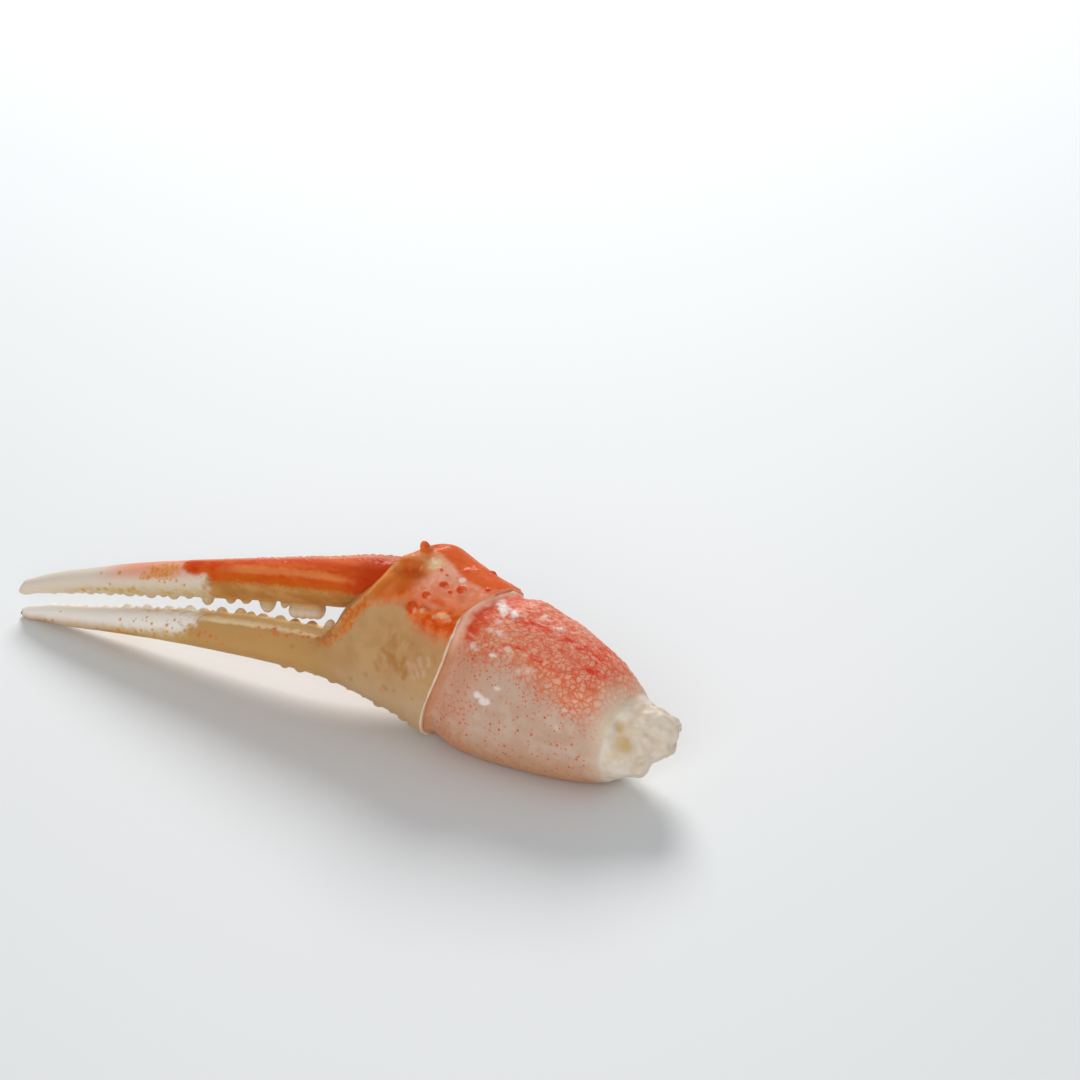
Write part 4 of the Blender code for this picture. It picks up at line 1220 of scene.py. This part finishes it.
def finger_surface():
    """Pearly tip, ochre body and red back of the moving finger."""
    paint = Paint("finger_paint")
    step, soft, between, most = paint.step, paint.soft, paint.between, paint.most
    mix, tint, value = paint.mix, paint.tint, paint.value
    noise, cells, spots = paint.noise, paint.cells, paint.spots
    u, wobble = paint.u, paint.wobble
    height, ridge, border, tooth = map(value, ("height", "ridge", "red", "tooth"))
    grit = cells(0.5, shift=(0.3, 0.1, 0.6))
    # pearly tip, yellowish towards the teeth, and ochre body
    body = soft(u, 4, 34.6, 37.4)
    ochre = mix(step(noise(2.4, 3, stretch=(2, 1, 1)), 0.4, 0.65), OCHRE, OCHRE_DEEP)
    colour = mix(body, PEARL, ochre)
    tip = step(body, 1, 0)
    cream = soft(height, 0.3, 0.62, 0.1) * step(u, 3, 26, 0.25, 1)
    colour = tint(PEARL_CREAM, cream * tip, 0.75, colour)
    stain = step(noise(1.3, 2, stretch=(1.3, 1, 1), shift=(1, 8, 3)), 0.46, 0.56)
    stain = stain * soft(height, 0.2, 0.36, 0.2) * between(u, 6, 13, 34, 39)
    colour = tint(STAIN, stain, 0.5, colour)
    # pink band, granular patch
    pink = step(u, 13, 22) * step(height - u * 0.004, 0.3, 0.78)
    colour = tint(PINK, pink * step(u, 38, 31), 0.85, colour)
    loose = noise(1, 3, shift=(4, 2, 2)) - 0.5
    patch = u + loose * 6
    patch = between(patch, 23, 25, 28.5, 31.5)
    above = height + loose * 0.5
    patch = patch * between(above, 0.5, 0.64, 0.86, 1)
    colour = tint(PATCH, patch, 0.85, colour)
    dense = step(noise(0.4, 2, shift=(3, 3, 7)), 0.48, 0.58)
    colour = tint(PATCH_DEEP, patch * dense, 0.65, colour)
    # red back with its paler ridge over a deep granular border
    rough = step(u, 35, 39, 0.15, 0.6)
    ragged = wobble * 0.6 + (noise(0.5, 3, shift=(2, 1, 6)) - 0.5) * rough * 2.4
    red = step(border + ragged, -0.45, 0.45)
    tone = mix(step(noise(1.8, 3, stretch=(2.5, 1, 1), shift=(4, 0, 0)), 0.35, 0.65), RED_DEEP, RED_BRIGHT)
    tone = tint(ROSY_RED, step(ridge, 0.6, 2) * step(u, 34, 42), 0.7, tone)
    crease = step(abs(ridge - 1.7), 0.7, 0.1)
    tone = tint(RED_DEEP, crease * step(u, 40, 46), 0.5, tone)
    line = soft(abs(ridge), 0.8, 1, 0.1) * between(u, 36, 42, 60, 66)
    tone = tint(RIDGE_ORANGE, line, 0.75, tone)
    low = step(border, 1.7, 0.6) * step(grit, 0.75, 0.3, 0.55, 1)
    tone = tint(BORDER_ORANGE, low * step(u, 36, 41), 0.9, tone)
    tone = tint(RED_BASE, soft(u, 4, 59, 67), 0.85, tone)
    colour = mix(red, colour, tone)
    halo = spots(0.45, 0.4, 0.7, 0.7, (0.9, 0.4, 0.2)) * step(border, -1.3, 0)
    halo = halo * step(u, 31, 35) * step(red, 0.9, 0.2)
    colour = tint(BORDER_ORANGE, halo, 0.8, colour)
    crest = step(height, 0.975, 1) * step(u, 24, 36)
    colour = tint(CREST, crest * step(grit, 0.6, 0.3, 0.5, 1), 0.5, colour)
    speck = soft(value("speck"), 0.4, 0.12, -0.26)
    few = spots(0.9, 0.12, 0.28, 0.35, (0.4, 0.3, 0.8)) * tip * step(height, 0.7, 0.5) * step(u, 22, 27)
    tone = mix(step(height, 0.3, 0.36), STAIN_SPOT, SPECK_OCHRE)
    colour = mix(most(speck, few) * 0.9, colour, tone)
    # teeth, golden at the root and translucent grey at the end
    root = step(tooth, -0.9, -0.1) * step(u, 34, 38)
    colour = tint(TOOTH_GOLD, root, 0.6, colour)
    colour = tint(TOOTH_IVORY, step(tooth, -0.1, 0.6), 0.9, colour)
    colour = tint(TOOTH_END, step(tooth, 0.6, 1.5), 0.75, colour)
    return shell(paint, colour, 0.42, 0.1, 0.5)


def meat_surface():
    """Pale flesh under a red, netted skin, with white curd and a crumbly end."""
    paint = Paint("meat_paint", stretch=(1.3, 1, 1))
    step, soft, most, mixed = paint.step, paint.soft, paint.most, paint.mixed
    mix, tint, value, noise, spots = paint.mix, paint.tint, paint.value, paint.noise, paint.spots
    u, v, wobble = paint.u, paint.v, paint.wobble
    crumb, neck = value("crumb"), value("neck")
    wide = noise(4, 3, stretch=(1.5, 1, 1))
    # pale flesh, rosier by the shell, with painted contact shade warmer below
    colour = mix(step(wide, 0.35, 0.65), FLESH, FLESH_DEEP)
    colour = tint(FLESH_ROSY, step(neck, 11, 3), 0.8, colour)
    cloud = step(noise(2, 3, shift=(6, 3, 1)), 0.46, 0.64)
    colour = tint(FLESH_PALE, cloud * step(v, 17, 10), 0.25, colour)
    # painted shade: a warm brownish band along the bottom, where the meat meets the floor
    low = soft(v, 2.5, 6.5, 1)
    colour = tint(FLESH_CONTACT_SHADE, low, 0.8, colour)
    # red skin: pale cells on a red ground, upright below, drawn out and finer along the top
    area = value("red") + wobble * 3 + (wide - 0.5) * 4
    red = step(area, -1.6, 2.6)
    border = paint.net(0.88, (1.15, 1, 1), bend=0.5)
    upright = paint.net(0.85, (0.8, 2, 1), bend=0.3)
    drawn = paint.net(0.56, (2.2, 1, 1.3), (0, 3, 0), bend=0.9)
    flat = paint.net(0.98, (1.7, 0.9, 1), (2, 0, 5), bend=0.5)
    left = step(u, 100, 97) * step(area, 1.6, 0.2)
    pattern = mixed(left, border, upright)
    top = soft(v, 3, 18.6, 20) * step(u, 105, 101)
    pattern = mixed(top, pattern, drawn * 1.5)
    pattern = mixed(soft(v, 2, 23.2, 24.2), pattern, flat)
    patchy = step(noise(1.5, 3, shift=(9, 2, 4)), 0.34, 0.62, 0.35, 1)
    cell = step(pattern, 0, 0.22) * patchy
    deep = step(area, 1.5, 5.5)
    ground = mix(deep, NET_LINE, NET_LINE_DEEP)
    fill = mix(deep, NET_FILL, NET_FILL_DEEP)
    skin = mix(cell, ground, fill)
    colour = mix(red * 0.85, colour, skin)
    edge = step(pattern, 0.2, 0) * step(area, -3.2, 0) * step(red, 1, 0.5)
    colour = tint(NET_LINE, edge * patchy, 0.8, colour)
    fibres = noise(0.8, 4, stretch=(3.6, 1, 1), shift=(1, 5, 2), rough=0.65)
    streak = value("streak") - (fibres - 0.5) * 3
    colour = tint(STREAK, step(streak, 0.65, -0.25) * red, 0.85, colour)
    stain = soft(neck, 3.5, 5.2, 2.6) * step(area, -0.4, 0.8)
    colour = tint(RIM_RED, stain, 0.8, colour)
    pale = noise(0.7, 3, stretch=(2.2, 1, 1), shift=(2, 2, 9))
    colour = tint(NET_PALE, step(pale, 0.56, 0.7) * red, 0.45, colour)
    # red specks below, thickest by the shell and under the net
    crowd = most(step(neck, 11, 4, 0.5, 1), step(area, -6.5, -1.5, 0, 1))
    crowd = crowd * step(noise(2.6, 1, shift=(3, 3, 1)), 0.3, 0.62, 0.45, 1.3)
    dot = spots(0.8, 0.26, 0.42, crowd, (0.1, 0.6, 0.3))
    dot = most(dot, spots(0.55, 0.24, 0.46, crowd * 0.8, (0.8, 0.2, 0.7)))
    dot = dot * step(area, 1.5, -0.5) * step(crumb, 0.6, 0.2) * step(neck, 0.8, 1.8)
    colour = tint(DOT, dot, 0.9, colour)
    # skin just out of the shell, its tan partly painted shade, curd and the broken end
    # tan strip just out of the shell: its own tone, darkened as painted shade under the shell's lip
    strip = soft(neck, 1.4, 1.8, 0.6)
    tone = mix(step(v, 15, 21), NECK_SHADE, NECK_PINK)
    colour = mix(strip * 0.85, colour, tone)
    end = mix(step(noise(2.2, 2, shift=(8, 1, 1)), 0.42, 0.62), CRUMB, CRUMB_DEEP)
    end = tint(CRUMB_SHADE, step(u, 113.5, 117.5), 0.45, end)
    pale_end = step(u, 106.5, 110.5) * step(v + u * 0.4, 62.5, 59.5)
    colour = tint(CRUMB_DEEP, pale_end, 0.7, colour)
    colour = mix(soft(crumb, 0.8, 0.05, 0.7), colour, end)
    colour = tint(CRUMB_SHADE, value("crack") * crumb, 0.35, colour)
    colour = tint(PIT_OCHRE, step(value("pit"), 0.25, 0.9), 0.7, colour)
    colour = tint(CURD, value("curd"), 0.85, colour)
    grain = paint.bump(border, 0.1, 0.45, paint.bump(noise(0.35, 3), 0.06, 0.5))
    return paint.finished(colour, paint.bump(fibres, 0.1, 0.4, grain), MEAT_GLOSS)


# ---------------------------------------------------------------- the pieces in their places

palm = make_palm()
finger = make_finger()
meat = make_meat()
put_in_place(palm, "palm_shell", palm_surface())
put_in_place(finger, "moving_finger", finger_surface())
put_in_place(meat, "meat", meat_surface())


# ---------------------------------------------------------------- stage, light and camera

FLOOR_SIZE, FLOOR_COLOUR, FLOOR_ROUGHNESS = 6, (232, 235, 238), 0.6
SKY_COLOUR, SKY_STRENGTH = (0.95, 0.98, 1, 1), 0.4
LIT = Vector((0, 0, 0.01))
AZIMUTH, ELEVATION = math.radians(29.41), math.radians(28.6)
AIM, DISTANCE = Vector((22.387, 22.090, 23.129)) * MM, 0.7
SENSOR_WIDTH, LENS = 36, 148.75


def aimed(name, data, place, towards):
    """A light or a camera at a place, looking in a direction."""
    made = bpy.data.objects.new(name, data)
    bpy.context.scene.collection.objects.link(made)
    made.location = place
    made.rotation_mode = "QUATERNION"
    made.rotation_quaternion = towards.to_track_quat("-Z", "Y")
    return made


def area_light(name, place, size, power, colour):
    """A round light that shines on the claw."""
    light = bpy.data.lights.new(name, "AREA")
    light.shape = "DISK"
    light.size = size
    light.energy = power
    light.color = colour
    aimed(name, light, place, LIT - Vector(place))


bpy.ops.mesh.primitive_plane_add(size=FLOOR_SIZE)
floor = bpy.context.object
floor.name = "floor"
floor_paint = bpy.data.materials.new("floor_paint")
floor_paint.use_nodes = True
floor_shader = floor_paint.node_tree.nodes["Principled BSDF"].inputs
floor_shader["Base Color"].default_value = linear(FLOOR_COLOUR)
floor_shader["Roughness"].default_value = FLOOR_ROUGHNESS
floor.data.materials.append(floor_paint)

world = bpy.data.worlds.new("studio")
world.use_nodes = True
sky = world.node_tree.nodes["Background"].inputs
sky["Color"].default_value = SKY_COLOUR
sky["Strength"].default_value = SKY_STRENGTH
bpy.context.scene.world = world
area_light("key", (-0.38, 0.72, 0.55), 0.45, 6.4, (1, 0.99, 0.97))
area_light("front", (0.35, -0.8, 0.45), 0.6, 3.2, (1, 0.96, 0.9))

camera = bpy.data.cameras.new("camera")
camera.sensor_width = SENSOR_WIDTH
camera.lens = LENS
flat = math.cos(ELEVATION)
back = Vector((math.sin(AZIMUTH) * flat, -math.cos(AZIMUTH) * flat, math.sin(ELEVATION)))
bpy.context.scene.camera = aimed("camera", camera, AIM + back * DISTANCE, -back)
bpy.context.scene.view_settings.view_transform = "Standard"
